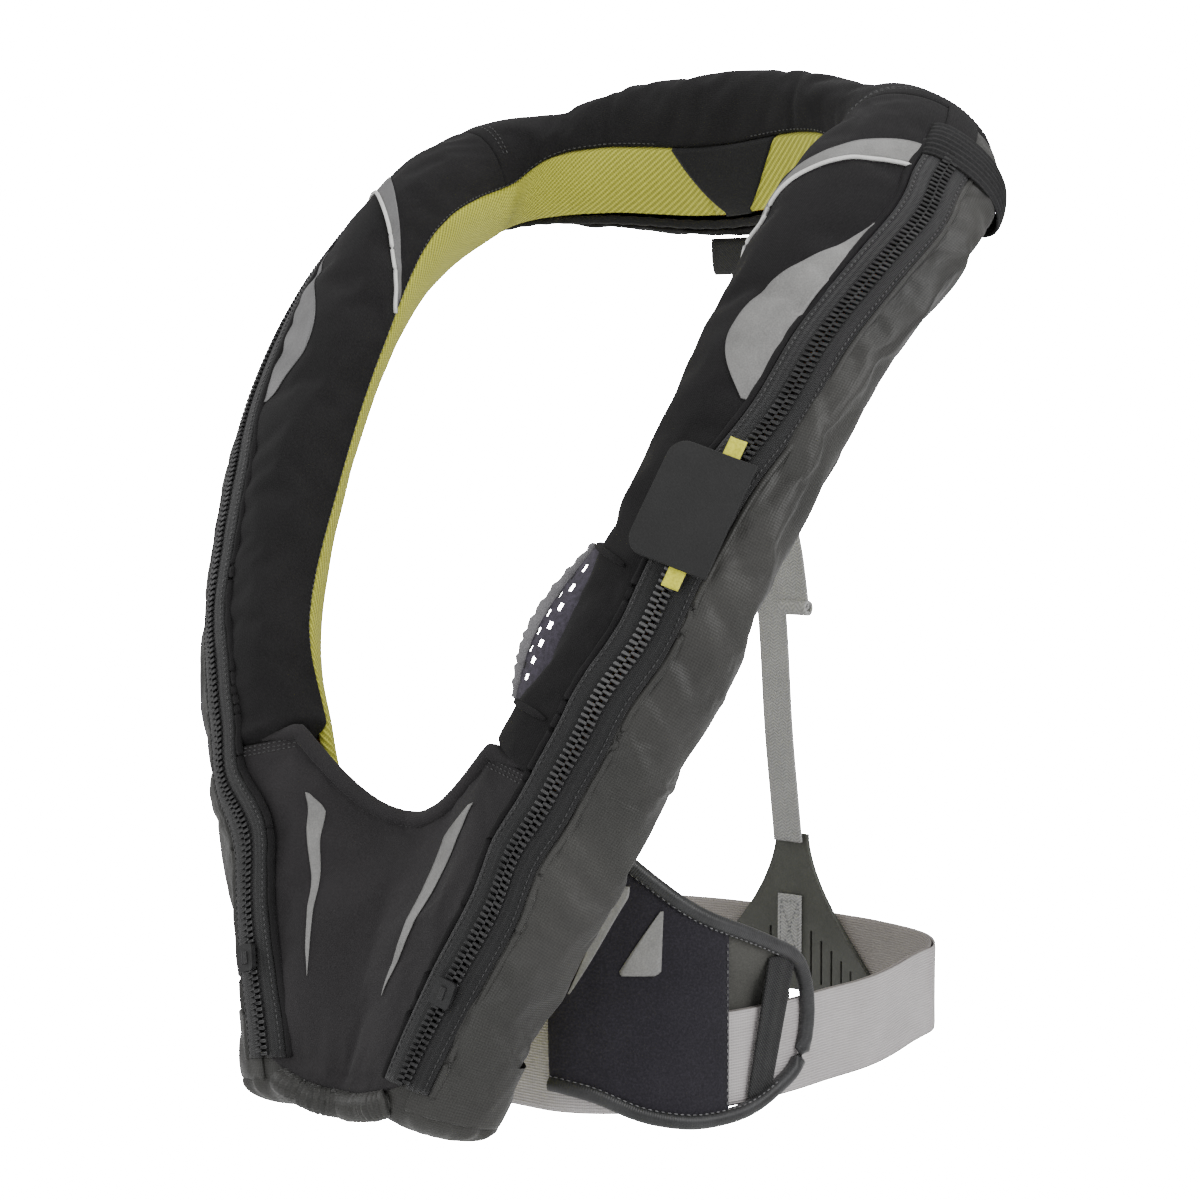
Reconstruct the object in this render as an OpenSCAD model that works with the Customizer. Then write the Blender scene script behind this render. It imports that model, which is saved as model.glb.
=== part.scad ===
// Inflatable life jacket: a padded horseshoe with a zipped cover, a front bib,
// a waist belt on two side panels and a back strap with a moulded plate.
// The wearer faces -Y, the wearer's left is +X and +Z is up.
// The origin is the centre of the wearer's neck at the height of the collar's foot.

/* [Overall] */
// Width over both lobes
jacket_width = 396; // [330:1:480]
// Height from the top of the collar to the bottom of the bib
jacket_height = 520; // [430:1:625]
// Depth from the back of the collar to the front of the bib
jacket_depth = 370; // [310:1:440]

/* [Padded lobes] */
// Thickness of a lobe at the chest
lobe_thickness = 52; // [43:1:63]
// Thickness of the rear collar
collar_thickness = 40; // [34:1:48]
// Thickness of the cover cloth with its padding
cover_wall = 2.4; // [1.5:0.1:3]
// Gap between neighbouring pieces that are sewn edge to edge
seam_gap = 0.6; // [0.4:0.1:1.2]
// Thickness of the folded air chamber
bladder_thickness = 13; // [9:1:14]

/* [Burst zip] */
// Width of the chain of teeth
chain_width = 6.5; // [5:0.1:8]
// Width of one zip tape beside the chain
tape_width = 10; // [7:0.5:13]
// Thickness of the chain
chain_thickness = 2.6; // [2:0.1:3.2]
// Length of the burst flap along the zip
flap_length = 58; // [45:1:70]
// Width of the burst flap across the zip
flap_width = 42; // [34:1:51]

/* [Bib] */
// Thickness of the bib panel
bib_wall = 3; // [2:0.1:4]
// Radius of the rolled neckline binding
binding_radius = 4.2; // [3:0.1:5.5]

/* [Waist] */
// Width of the elastic waist belt
belt_width = 46; // [38:1:50]
// Thickness of the belt
belt_thickness = 2; // [1.4:0.1:2.6]
// Thickness of the side panel
panel_wall = 3.4; // [2.4:0.1:4]
// Radius of the rolled binding round the side panel
panel_binding_radius = 3.2; // [2.6:0.1:4]
// Width of the keeper strap
keeper_width = 12; // [9:0.5:15]

/* [Back strap] */
// Width of the back strap webbing
strap_width = 19; // [15:1:25]
// Thickness of the back strap webbing
strap_thickness = 1.6; // [1.2:0.1:2.2]
// Half width of the back plate at its foot
plate_half_width = 72; // [58:1:80]
// Height of the back plate
plate_height = 92; // [80:1:105]
// Thickness of the back plate
plate_wall = 3; // [2.2:0.1:3.6]

/* [Inflation] */
// Diameter of the gas cylinder
cylinder_diameter = 19.5; // [17:0.5:20]
// Length of the gas cylinder, neck excluded
cylinder_length = 78; // [66:1:82]
// Diameter of the mouth tube
tube_diameter = 12; // [9:0.5:13]
// Length of the mouth tube
tube_length = 58; // [48:1:70]

/* [Hidden] */
$fn = 64;

// Shares of the nominal size that the overall sizes ask for
wide = jacket_width / 396;
tall = jacket_height / 520;
deep = jacket_depth / 370;
function sized(p) = [p[0] * wide, p[1] * deep, p[2] * tall];

// Inner edge of the padded horseshoe, from behind the neck down to the bib's foot
neck_route = [for (p = [
    [0, 50, 100], [66, 42, 94], [114, 4, 66], [115, -62, 24], [108, -113, -48],
    [100, -155, -118], [86, -194, -187], [60, -208, -240], [32, -220, -300], [8, -248, -422],
]) sized(p)];
// Outer edge of the horseshoe at the same places
outer_route = [for (p = [
    [0, 65, 12], [84, 58, 20], [172, 42, 28], [200, -10, -8], [198, -84, -66],
    [182, -140, -148], [156, -170, -222], [134, -192, -280], [108, -212, -340], [72, -236, -428],
]) sized(p)];
// Share of the lobe thickness at the same places
fullness = [0.77, 0.86, 1.12, 1.12, 1.02, 1.03, 1.04, 1, 0.94, 0.84];
// Angle of the zip round the lobe's section: 90 is the front, 180 the neck edge
zip_angles = [92, 90, 74, 66, 66, 80, 90, 90, 86, 106];
// Angle at which the front cover ends and the neck lining begins
lining_angles = [262, 254, 226, 204, 200, 200, 200, 204, 210, 210];

lining_end = 318;     // where the lining ends on the wearer's side
nylon_start = -40;    // where the nylon cover begins, at the lining's end
collar_start = -22;   // where the rear collar cover begins
shoulder = 0.235;     // station of the shoulder seam
bib_top = 0.775;      // station of the seam between shoulder cover and bib
lobe_foot = 0.985;    // station where the lobes end
zip_top = 0.3;        // station of the zip's upper end
zip_foot = 0.975;     // station of the zip's lower end
turn = 57.3;          // degrees in one radian

function mix(a, b, t) = a + (b - a) * t;
function unit(v) = v / norm(v);
function mirrored(p) = is_list(p) ? [-p[0], each [for (i = [1 : len(p) - 1]) p[i]]] : p;
function curve(a, b, c, d, t) =
    b + (c - a) * t / 2 + (a - 2.5 * b + 2 * c - d / 2) * t * t
    + (1.5 * b - a / 2 - 1.5 * c + d / 2) * t * t * t;
// Smooth curve through a list, for u from 0 to 1, symmetrical at its start
function along(list, u) =
    let (last = len(list) - 1, s = min(max(u, 0), 1) * last, i = min(floor(s), last - 1))
    curve(i == 0 ? mirrored(list[1]) : list[i - 1], list[i], list[i + 1],
          i + 2 > last ? 2 * list[last] - list[last - 1] : list[i + 2], s - i);

// The left lobe's own directions: across it, down it and out of its front
function mid(u) = (along(neck_route, u) + along(outer_route, u)) / 2;
function lobe_half(u) = norm(along(outer_route, u) - along(neck_route, u)) / 2;
function full(u) =
    let (f = along(fullness, u))
    mix(collar_thickness / 0.77, lobe_thickness, min(1, u / shoulder)) * f / 2;
function across(u) = unit(along(outer_route, u) - along(neck_route, u));
function down(u) =
    let (step = 0.004, a = max(u - step, 0), b = min(u + step, 1))
    u < step ? unit([mid(step)[0], 0, 0]) : unit(mid(b) - mid(a));
function front(u) = unit(cross(down(u), across(u)));
// A point round the lobe at an angle, moved out by lift
function lobe(u, angle, lift) =
    mid(u) + (lobe_half(u) + lift) * cos(angle) * across(u)
    + (full(u) + lift) * sin(angle) * front(u);
// Signed station: a negative one is on the right lobe
function round_lobe(u, angle, lift) =
    u < 0 ? mirrored(lobe(-u, angle, lift)) : lobe(u, angle, lift);
function zip_angle(u) = along(zip_angles, u);
function lining_angle(u) = along(lining_angles, u);
// Degrees round the section that a width near the lobe's front takes
function turn_of(width, u) = width / lobe_half(u) * turn;

// A closed skin between two stations and two angles, a wall thick
module skin(u0, u1, a0, a1, outside, inside, nu, na) {
    m = 2 * (na + 1);
    points = [for (i = [0 : nu]) let (u = mix(u0, u1, i / nu), v = abs(u))
        each concat(
            [for (j = [0 : na]) round_lobe(u, mix(a0(v), a1(v), j / na), outside)],
            [for (j = [na : -1 : 0]) round_lobe(u, mix(a0(v), a1(v), j / na), inside)])];
    shell(points, m, nu, na);
}

// Two triangles for four corners
function halves(a, b, c, d) = [[a, b, c], [a, c, d]];
// Turns every face the same way, outwards
function outwards(points, faces) =
    let (v = [for (f = faces) points[f[0]] * cross(points[f[1]], points[f[2]])])
    v * [for (x = v) 1] > 0 ? [for (f = faces) [f[2], f[1], f[0]]] : faces;

// Joins rings of points that are made of an outer row and an inner row run back
module shell(points, m, nu, na) {
    end = nu * m;
    faces = concat(
        [for (i = [0 : nu - 1], j = [0 : m - 1]) each halves(
            i * m + j, i * m + (j + 1) % m, (i + 1) * m + (j + 1) % m, (i + 1) * m + j)],
        [for (j = [0 : na - 1]) each halves(m - 1 - j, m - 2 - j, j + 1, j)],
        [for (j = [0 : na - 1]) each halves(end + j, end + j + 1, end + m - 2 - j, end + m - 1 - j)]);
    polyhedron(points, outwards(points, faces));
}

// Joins plain rings of points with closed ends, or end to end as a hoop
module tube(points, sides, closed = false) {
    n = len(points) / sides;
    hoops = closed ? n : n - 1;
    last = (n - 1) * sides;
    faces = concat(
        [for (i = [0 : hoops - 1], k = [0 : sides - 1]) each halves(
            i * sides + (k + 1) % sides, i * sides + k,
            (i + 1) % n * sides + k, (i + 1) % n * sides + (k + 1) % sides)],
        closed ? [] : [for (k = [1 : sides - 2]) [0, k, k + 1]],
        closed ? [] : [for (k = [1 : sides - 2]) [last, last + k + 1, last + k]]);
    polyhedron(points, outwards(points, faces));
}

// A round cord of cloth along a list of points
module roll(path, r, sides = 8, closed = false) {
    n = len(path);
    rings = [for (i = [0 : n - 1]) let (
            a = path[closed ? (i + n - 1) % n : max(i - 1, 0)],
            b = path[closed ? (i + 1) % n : min(i + 1, n - 1)],
            t = unit(b - a),
            s = unit(cross(t, abs(t[2]) > 0.9 ? [0, 1, 0] : [0, 0, 1])),
            q = cross(t, s))
        each [for (k = [0 : sides - 1])
            path[i] + r * cos(k * 360 / sides) * s + r * sin(k * 360 / sides) * q]];
    tube(rings, sides, closed);
}

// Puts children inside the left lobe: X across it, Y up it, Z out of its front
module in_lobe(u, side = 0, lift = 0) {
    o = mid(u) + side * across(u) + lift * front(u);
    y = -down(u);
    z = front(u);
    x = cross(y, z);
    multmatrix([[x[0], y[0], z[0], o[0]], [x[1], y[1], z[1], o[1]], [x[2], y[2], z[2], o[2]]])
        children();
}
// Puts children on the left lobe's face at an angle: Z out of the cloth, Y up the zip
module on_lobe(u, angle, lift = 0) {
    step = 0.01;
    o = lobe(u, angle, lift);
    y = unit(lobe(u - step, angle, lift) - lobe(u + step, angle, lift));
    s = lobe(u, angle - 4, lift) - lobe(u, angle + 4, lift);
    x = unit(s - (s * y) * y);
    z = cross(x, y);
    multmatrix([[x[0], y[0], z[0], o[0]], [x[1], y[1], z[1], o[1]], [x[2], y[2], z[2], o[2]]])
        children();
}
module on_right() { mirror([1, 0, 0]) children(); }

// ---------------------------------------------------------------- padded horseshoe

module bladder() {
    color("darkorange") {
        // One flat chamber, folded small, on the wearer's side of the lobes
        stations = 44;
        sides = 12;
        reach = 0.955;
        back = 0.42;      // how far it lies behind the lobe's middle, as a share
        points = [for (i = [0 : stations]) let (
                s = mix(-reach, reach, i / stations), u = abs(s),
                c = mid(u) - back * full(u) * front(u))
            each [for (k = [0 : sides - 1]) let (
                    a = k * 360 / sides,
                    p = c + 0.72 * lobe_half(u) * cos(a) * across(u)
                        + bladder_half(u) * sin(a) * front(u))
                s < 0 ? mirrored(p) : p]];
        tube(points, sides);
    }
}
function bladder_half(u) = bladder_thickness / 2 * along(fullness, u);

module rear_collar_cover() {
    color("#262526")
        skin(-shoulder, shoulder, function (u) collar_start, function (u) lining_angle(u),
             0, -cover_wall, 28, 12);
}

module stretch_cover() {
    gap = 0.0025;
    color("#2a292a")
        skin(shoulder + gap, bib_top - gap,
             function (u) zip_angle(u) + turn_of(chain_width / 2 + seam_gap, u),
             function (u) lining_angle(u), 0, -cover_wall, 26, 8);
}

module nylon_cover() {
    gap = 0.0025;
    color("#4b4b48")
        skin(shoulder + gap, lobe_foot,
             function (u) nylon_start,
             function (u) zip_angle(u) - turn_of(chain_width / 2 + seam_gap, u),
             0, -cover_wall, 30, 8);
    // The foot of the lobe is closed by the same cloth
    color("#4b4b48") tube([for (d = [-0.3, cover_wall], k = [0 : 23])
        lobe(lobe_foot, k * 15, -0.6) + d * down(lobe_foot)], 24);
}

module neck_lining() {
    start = 0.045;
    color("#cdca5e")
        skin(start, lobe_foot - 0.006,
             function (u) lining_angle(u) + turn_of(seam_gap, u) + 1,
             function (u) lining_end, 0, -cover_wall, 34, 5);
}

module collar_patch() {
    reach = 0.042;
    color("#232223")
        skin(-reach, reach,
             function (u) lining_angle(u) + turn_of(seam_gap, u) + 1,
             function (u) lining_end, 0, -cover_wall, 6, 5);
}

module collar_piping() {
    reach = 0.225;
    angle = (lining_end + 360 + collar_start) / 2;
    color("#1e1e1f")
        roll([for (i = [0 : 24]) round_lobe(mix(-reach, reach, i / 24), angle, -1)], 2.4);
}

// ---------------------------------------------------------------- burst zip

module zip_tape() {
    base = 0.4;
    color("#1f1f20") {
        for (edge = [-1, 1])
            skin(zip_top, zip_foot,
                 function (u) zip_angle(u) + edge * turn_of(chain_width / 2 + tape_width, u),
                 function (u) zip_angle(u) + edge * turn_of(chain_width / 2 + 0.2, u),
                 base + 1, base, 30, 2);
    }
}

module zip_chain() {
    base = 0.2;
    color("#111112")
        skin(zip_top, zip_foot,
             function (u) zip_angle(u) - turn_of(chain_width / 2, u),
             function (u) zip_angle(u) + turn_of(chain_width / 2, u),
             base + chain_thickness, base, 34, 2);
}

slider_station = 0.93;
slider_lift = chain_thickness + 0.9;
module zip_slider() {
    body = [11, 13, 2.4];
    color("#17171a") on_lobe(slider_station, zip_angle(slider_station), slider_lift) {
        linear_extrude(body[2]) {
            square([body[0] - 4, body[1]], center = true);
            square([body[0], body[1] - 4], center = true);
            for (sx = [-1, 1], sy = [-1, 1])
                translate([sx * (body[0] / 2 - 2), sy * (body[1] / 2 - 2)]) circle(2);
        }
        // The lug that carries the pull
        translate([0, 0, body[2]]) rotate([90, 0, 0]) cylinder(h = 6, r = 1.6, center = true);
    }
}

module zip_garage() {
    // Folded cloth tunnel over the top end of the zip
    base = 1.8;
    color("#2e2e2f")
        skin(zip_top - 0.022, zip_top - 0.001,
             function (u) zip_angle(u) - turn_of(chain_width / 2 + tape_width, u),
             function (u) zip_angle(u) + turn_of(chain_width / 2 + tape_width, u),
             base + 2, 0.4, 3, 4);
}

flap_station = 0.568;
flap_lift = chain_thickness + 1.2;
flap_shift = 7;        // how far the flap's middle lies towards the neck from the zip
module burst_flap() {
    thick = 1.8;
    corner = 9;
    color("#323232") on_lobe(flap_station, zip_angle(flap_station), flap_lift)
        translate([-flap_shift, 0, 0]) linear_extrude(thick) {
            translate([flap_width / 2 - corner, 0])
                square([2 * corner, flap_length], center = true);
            for (s = [-1, 1])
                translate([-flap_width / 2 + corner, s * (flap_length / 2 - corner)])
                    circle(corner);
            square([flap_width - 2 * corner, flap_length], center = true);
            translate([-flap_width / 2 + corner, 0])
                square([2 * corner, flap_length - 2 * corner], center = true);
        }
}

module burst_tabs() {
    tab = [8.5, 9, 1];
    color("#f2ee3a") on_lobe(flap_station, zip_angle(flap_station), chain_thickness + 0.9)
        for (s = [-1, 1])
            translate([0, s * (flap_length / 2 + tab[1] / 2 + 0.8), tab[2] / 2])
                cube(tab, center = true);
}

// ---------------------------------------------------------------- slot in the left lobe

slot_from = 0.605;
slot_to = 0.735;
slot_rise = 9;         // how far the elastic edge stands out of the lobe
elastic_radius = 2.6;
module slot_elastic() {
    // Gathered elastic edge that stands out of the neck side
    color("#77757a")
        roll([for (i = [0 : 14]) let (t = i / 14)
            lobe(mix(slot_from, slot_to, t), 172, elastic_radius + 0.4 + slot_rise * sin(180 * t))],
            elastic_radius);
}

module slot_mesh() {
    // See-through mesh between the lobe and the elastic edge
    steps = 12;
    wall = 0.8;
    color("#2b2530") shell([for (i = [0 : steps]) let (
            t = mix(0.06, 0.94, i / steps), u = mix(slot_from, slot_to, t),
            a = lobe(u, 152, 0.5), b = lobe(u, 171, 0.4 + (slot_rise - 0.6) * sin(180 * t)))
        each [a, b, b + wall * front(u), a + wall * front(u)]], 4, steps, 1);
}

// ---------------------------------------------------------------- reflective patches

patch_lift = 0.5;
patch_wall = 0.6;
leaf_from = 0.37;
leaf_to = 0.5;
module shoulder_leaf() {
    // A leaf beside the zip, pointed at both ends and fullest near its foot
    function leaf(u) = let (t = (u - leaf_from) / (leaf_to - leaf_from)) sin(180 * pow(t, 1.4));
    color("#6a6869")
        skin(leaf_from + 0.004, leaf_to - 0.004,
             function (u) zip_angle(u) + turn_of(chain_width / 2 + tape_width + 1.5, u),
             function (u) zip_angle(u) + turn_of(chain_width / 2 + tape_width + 2.5 + 28 * leaf(u), u),
             patch_lift + patch_wall, patch_lift, 12, 3);
}

band_from = 0.297;
band_lean = 0.105;      // how much further down the lobe the band's neck end lies
band_width = 0.02;
module shoulder_band() {
    // A curved band over the shoulder, from the zip to the neck edge
    steps = 14;
    function band_u(t) = mix(band_from, band_from + band_lean, pow(t, 1.6));
    points = [for (i = [0 : steps]) let (t = i / steps, u = band_u(t),
            a = mix(zip_angle(u) + turn_of(chain_width / 2 + tape_width + 1, u),
                    lining_angle(u) - 6, t))
        each [
            lobe(u, a, patch_lift + patch_wall),
            lobe(u + band_width * (1 - 0.5 * t), a, patch_lift + patch_wall),
            lobe(u + band_width * (1 - 0.5 * t), a, patch_lift), lobe(u, a, patch_lift)]];
    color("#97968f") shell(points, 4, steps, 1);
}

// ---------------------------------------------------------------- bib

// The bib hangs between the two zips: s runs across it from -1 to 1, t down it
bib_drop = 30;     // how far the neckline dips below the zip's end of the shoulder seam
bib_rise = 9;      // how far the shoulder seam climbs from the zip to the neckline
bib_neck = 0.62;   // share of the bib's width that the neckline takes
function bib_u(t) = mix(bib_top, zip_foot, t);
function bib_edge(t) =
    let (u = bib_u(t)) lobe(u, zip_angle(u) + turn_of(chain_width / 2 + seam_gap, u), -cover_wall);
function bib_point(s, t, lift) =
    let (
        e = bib_edge(t), side = abs(s),
        top = (1 - t) * bib_top_shape(side), foot = -10 * t * (1 - side * side),
        hollow = 20 * (1 - side * side) * (1 - 0.8 * t),
        swell = 5 * sin(180 * side) * (1 - t * 0.5))
    [e[0] * s, e[1] + hollow - swell - lift, e[2] + top + foot];
// Height of the neckline above or below the zip's end of the shoulder seam
function bib_top_shape(side) =
    side > bib_neck ? bib_rise * (1 - side) / (1 - bib_neck)
    : bib_rise - (bib_rise + bib_drop) * cos(side * 90 / bib_neck);

module bib_panel() {
    rows = 16;
    columns = 20;
    m = 2 * (columns + 1);
    points = [for (i = [0 : rows]) let (t = i / rows) each concat(
        [for (j = [0 : columns]) bib_point(mix(0.995, -0.995, j / columns), t, bib_wall)],
        [for (j = [columns : -1 : 0]) bib_point(mix(0.995, -0.995, j / columns), t, 0)])];
    color("#323032") shell(points, m, rows, columns);
}

module bib_neck_binding() {
    color("#242324")
        roll([for (i = [0 : 22]) let (
                s = mix(bib_neck, -bib_neck, i / 22),
                way = unit(bib_point(s + 0.02, 0, 0) - bib_point(s - 0.02, 0, 0)))
            bib_point(s, 0, bib_wall / 2) + (binding_radius + 0.9) * unit([-way[2], 0, way[0]])],
            binding_radius);
}

module bib_hem() {
    radius = 5.5;
    reach = 0.44;
    color("#2b2b2c")
        roll([for (i = [0 : 12]) let (s = mix(reach, -reach, i / 12))
            bib_point(s, 1, bib_wall / 2) - [0, 0, radius + 0.8]], radius);
}

module bib_slashes() {
    // One leaning slash each side of the middle, round at the top and pointed below
    steps = 12;
    color("#85827f")
        for (side = [-1, 1]) {
            points = [for (i = [0 : steps]) let (
                    t = mix(0.25, 0.78, i / steps), c = mix(0.52, 0.44, i / steps),
                    h = mix(0.07, 0.012, i / steps) * sqrt(min(1, i / 2 + 0.1)))
                each [
                    bib_point(side * (c + h), t, bib_wall + 1), bib_point(side * (c - h), t, bib_wall + 1),
                    bib_point(side * (c - h), t, bib_wall + 0.3),
                    bib_point(side * (c + h), t, bib_wall + 0.3)]];
            if (side > 0) shell(points, 4, steps, 1);
            else mirror([1, 0, 0]) shell([for (p = points) mirrored(p)], 4, steps, 1);
        }
}

// ---------------------------------------------------------------- waist

// Half of the waist loop seen from above, from the spine to the front buckle
waist_route = [for (p = [
    [0, 130], [58, 126], [104, 106], [126, 60], [132, -10], [130, -80], [116, -130],
    [90, -157], [60, -172], [0, -172],
]) [p[0] * wide, p[1] * deep]];
belt_middle = -398 * tall;
// The last stretch, under the bib, runs straight across
front_run = 1 - 1 / (len(waist_route) - 1);
front_x = waist_route[len(waist_route) - 2][0];
front_y = waist_route[len(waist_route) - 1][1];
function waist(u) =
    u > front_run ? [front_x * (1 - u) / (1 - front_run), front_y] : along(waist_route, u);
function waist_out(u) =
    let (step = 0.01, d = u < step ? [1, 0] : u > front_run ? [-1, 0]
         : unit(waist(u + step) - waist(u - step)))
    [-d[1], d[0]];
function waist_at(u, lift, z) =
    let (v = abs(u), p = waist(v) + lift * waist_out(v)) [u < 0 ? -p[0] : p[0], p[1], z];

// A strip that follows the waist between two stations
module waist_strip(u0, u1, low, high, inside, outside, steps, rows = 1) {
    m = 2 * (rows + 1);
    points = [for (i = [0 : steps]) let (u = mix(u0, u1, i / steps), v = abs(u)) each concat(
        [for (j = [0 : rows]) waist_at(u, outside, mix(low(v), high(v), j / rows))],
        [for (j = [rows : -1 : 0]) waist_at(u, inside, mix(low(v), high(v), j / rows))])];
    shell(points, m, steps, rows);
}

panel_front = 0.88;
panel_seam = 0.63;
panel_back = 0.53;
panel_lift = belt_thickness + panel_binding_radius - panel_wall / 2 + 0.4;
panel_edge = 1.3 * panel_binding_radius + 0.6;   // from the binding's middle to the cloth
// Upper and lower edge of the side panel, from its rear end to its front end
panel_tops = [-355, -338, -325, -305, -286, -284];
panel_feet = [-406, -424, -426, -421, -411, -406];
function panel_share(u) = (u - panel_back) / (panel_front - panel_back);
function open_along(list, u) =
    let (last = len(list) - 1, s = min(max(u, 0), 1) * last, i = min(floor(s), last - 1))
    mix(list[i], list[i + 1], s - i);
function panel_top(u) = open_along(panel_tops, panel_share(u)) * tall;
function panel_foot(u) = open_along(panel_feet, panel_share(u)) * tall;

module side_panel() {
    color("#2c2a30")
        waist_strip(panel_front, panel_seam,
                    function (u) panel_foot(u) + panel_edge, function (u) panel_top(u) - panel_edge,
                    panel_lift, panel_lift + panel_wall, 12, 2);
}

module panel_binding() {
    middle = panel_lift + panel_wall / 2;
    steps = 14;
    ends = 6;
    path = concat(
        [for (i = [0 : steps]) let (u = mix(panel_front, panel_back + 0.02, i / steps))
            waist_at(u, middle, panel_top(u))],
        [for (i = [1 : ends - 1]) let (a = 180 * i / ends, u = panel_back + 0.02 - 0.025 * sin(a))
            waist_at(u, middle, mix(panel_top(u), panel_foot(u), (1 - cos(a)) / 2))],
        [for (i = [steps : -1 : 0]) let (u = mix(panel_front, panel_back + 0.02, i / steps))
            waist_at(u, middle, panel_foot(u))]);
    color("#3c3e41") roll(path, panel_binding_radius);
}

// Printed marks on the side panel, a leaning slash and a triangle behind it. Each has
// its top and foot station, its half widths there, and its distance from both edges.
panel_slash = [0.768, 0.852, 0.015, 0.002, 14, 46];
panel_triangle = [0.716, 0.748, 0.003, 0.026, 13, 67];
mark_clearance = 0.3;
mark_thickness = 0.6;
module panel_mark(mark, side) {
    steps = 6;
    foot = panel_lift + panel_wall + mark_clearance;
    points = [for (i = [0 : steps]) let (
            t = i / steps, c = mix(mark[0], mark[1], t), half = mix(mark[2], mark[3], t),
            z = mix(panel_top(c) - mark[4], panel_foot(c) + mark[5], t))
        each [
            waist_at(side * (c - half), foot + mark_thickness, z),
            waist_at(side * (c + half), foot + mark_thickness, z),
            waist_at(side * (c + half), foot, z),
            waist_at(side * (c - half), foot, z)]];
    if (side > 0) shell(points, 4, steps, 1);
    else mirror([1, 0, 0]) shell([for (p = points) mirrored(p)], 4, steps, 1);
}

module panel_marks() {
    color("#b2b4af")
        for (side = [-1, 1], mark = [panel_slash, panel_triangle]) panel_mark(mark, side);
}

module keeper_straps() {
    // A loop of flat webbing at the open end of each panel, over the belt
    lift = panel_lift + 0.2;
    lean = 0.03;
    half = keeper_width / 2 / 560;
    color("#303031")
        for (side = [-1, 1]) {
            points = [for (i = [0 : 4]) let (
                    c = mix(panel_back + 0.03, panel_back + 0.03 + lean, i / 4),
                    z = mix(panel_top(c) - 2 * panel_edge, panel_foot(c) + 2 * panel_edge, i / 4))
                each [
                    waist_at(side * (c - half * 1.6), lift + 1.4, z),
                    waist_at(side * (c + half * 1.6), lift + 1.4, z),
                    waist_at(side * (c + half * 1.6), lift, z),
                    waist_at(side * (c - half * 1.6), lift, z)]];
            if (side > 0) shell(points, 4, 4, 1);
            else mirror([1, 0, 0]) shell([for (p = points) mirrored(p)], 4, 4, 1);
        }
}

buckle_gap = 0.99;    // station where each half of the belt ends behind the buckle
module waist_belt() {
    color("#b9b4b4")
        waist_strip(-buckle_gap, buckle_gap,
                    function (u) belt_middle - belt_width / 2,
                    function (u) belt_middle + belt_width / 2, 0, belt_thickness, 72);
}

// ---------------------------------------------------------------- front buckle

fit = 1;                  // clearance of the belt in a plastic sleeve
sleeve_wall = 2.5;
buckle_depth = 9;
buckle_height = belt_width - 12;
// The buckle's case lies in front of the belt
buckle_y = front_y - belt_thickness - fit - buckle_depth / 2;
button_x = -6;
// The front side of the case is -Y
module at_buckle(x = 0) { translate([x, buckle_y, belt_middle]) children(); }
// A flat sleeve that the belt runs through, closed in front by the buckle's own wall
module belt_sleeve(length) {
    depth = belt_thickness + 2 * fit;
    translate([0, front_y - belt_thickness / 2, belt_middle])
        difference() {
            cube([length, depth + 2 * sleeve_wall, belt_width + 2 * sleeve_wall + 2 * fit],
                 center = true);
            cube([length + 1, depth, belt_width + 2 * fit], center = true);
        }
}

module buckle_socket() {
    // Flat case, open on the wearer's left, with a round hole for the button
    case_size = [34, buckle_depth, buckle_height];
    mouth = [30, 4.4, buckle_height - 8];
    color("#1c1c1e") at_buckle(-9)
        difference() {
            cube(case_size, center = true);
            translate([4, 0, 0]) cube(mouth, center = true);
            translate([9 + button_x, 0, 0]) rotate([90, 0, 0]) cylinder(h = 6, r = 5.4);
        }
}

module buckle_tongue() {
    blade = [24, 3.4, buckle_height - 10];
    sleeve = 12;
    color("#1c1c1e") {
        at_buckle(0) difference() {
            cube(blade, center = true);
            translate([button_x, 0, 0]) rotate([90, 0, 0]) cylinder(h = 8, r = 5.6, center = true);
        }
        // Block that joins the blade to the sleeve on the belt
        at_buckle(15) cube([sleeve, buckle_depth - 2 * (sleeve_wall - fit) + 1, buckle_height],
                           center = true);
        translate([15, 0, 0]) belt_sleeve(sleeve);
    }
}

module buckle_button() {
    color("firebrick") at_buckle(button_x) translate([0, -2.4, 0]) rotate([90, 0, 0])
        cylinder(h = 4.2, r = 4.9);
}

module belt_adjuster() {
    // Sleeve with a window and a middle bar, on the right half of the front belt
    length = 16;
    bar = 3;
    color("#202022") translate([-42 * wide, 0, 0])
        difference() {
            belt_sleeve(length);
            for (s = [-1, 1])
                translate([s * 3.6, front_y - 6, belt_middle])
                    cube([4.2, 8, belt_width - 2 * bar], center = true);
        }
}

// ---------------------------------------------------------------- back strap and plate

plate_top = -330 * tall;
plate_inset = 1.2;      // from the belt's inner face to the plate's outer one
strap_top = [0, 78 * deep, 4 * tall];
strap_foot = [0, 124 * deep, plate_top - 4];
strap_way = unit(strap_foot - strap_top);
// Puts children on the strap at a distance from its top: X across, Y up it, Z backwards
module on_strap(distance) {
    o = strap_top + distance * strap_way;
    y = -strap_way;
    z = cross([1, 0, 0], y);
    multmatrix([[1, y[0], z[0], o[0]], [0, y[1], z[1], o[1]], [0, y[2], z[2], o[2]]]) children();
}
strap_length = norm(strap_foot - strap_top);

module back_strap() {
    color("#8c8c8a") on_strap(strap_length / 2)
        cube([strap_width, strap_length, strap_thickness], center = true);
}

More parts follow.
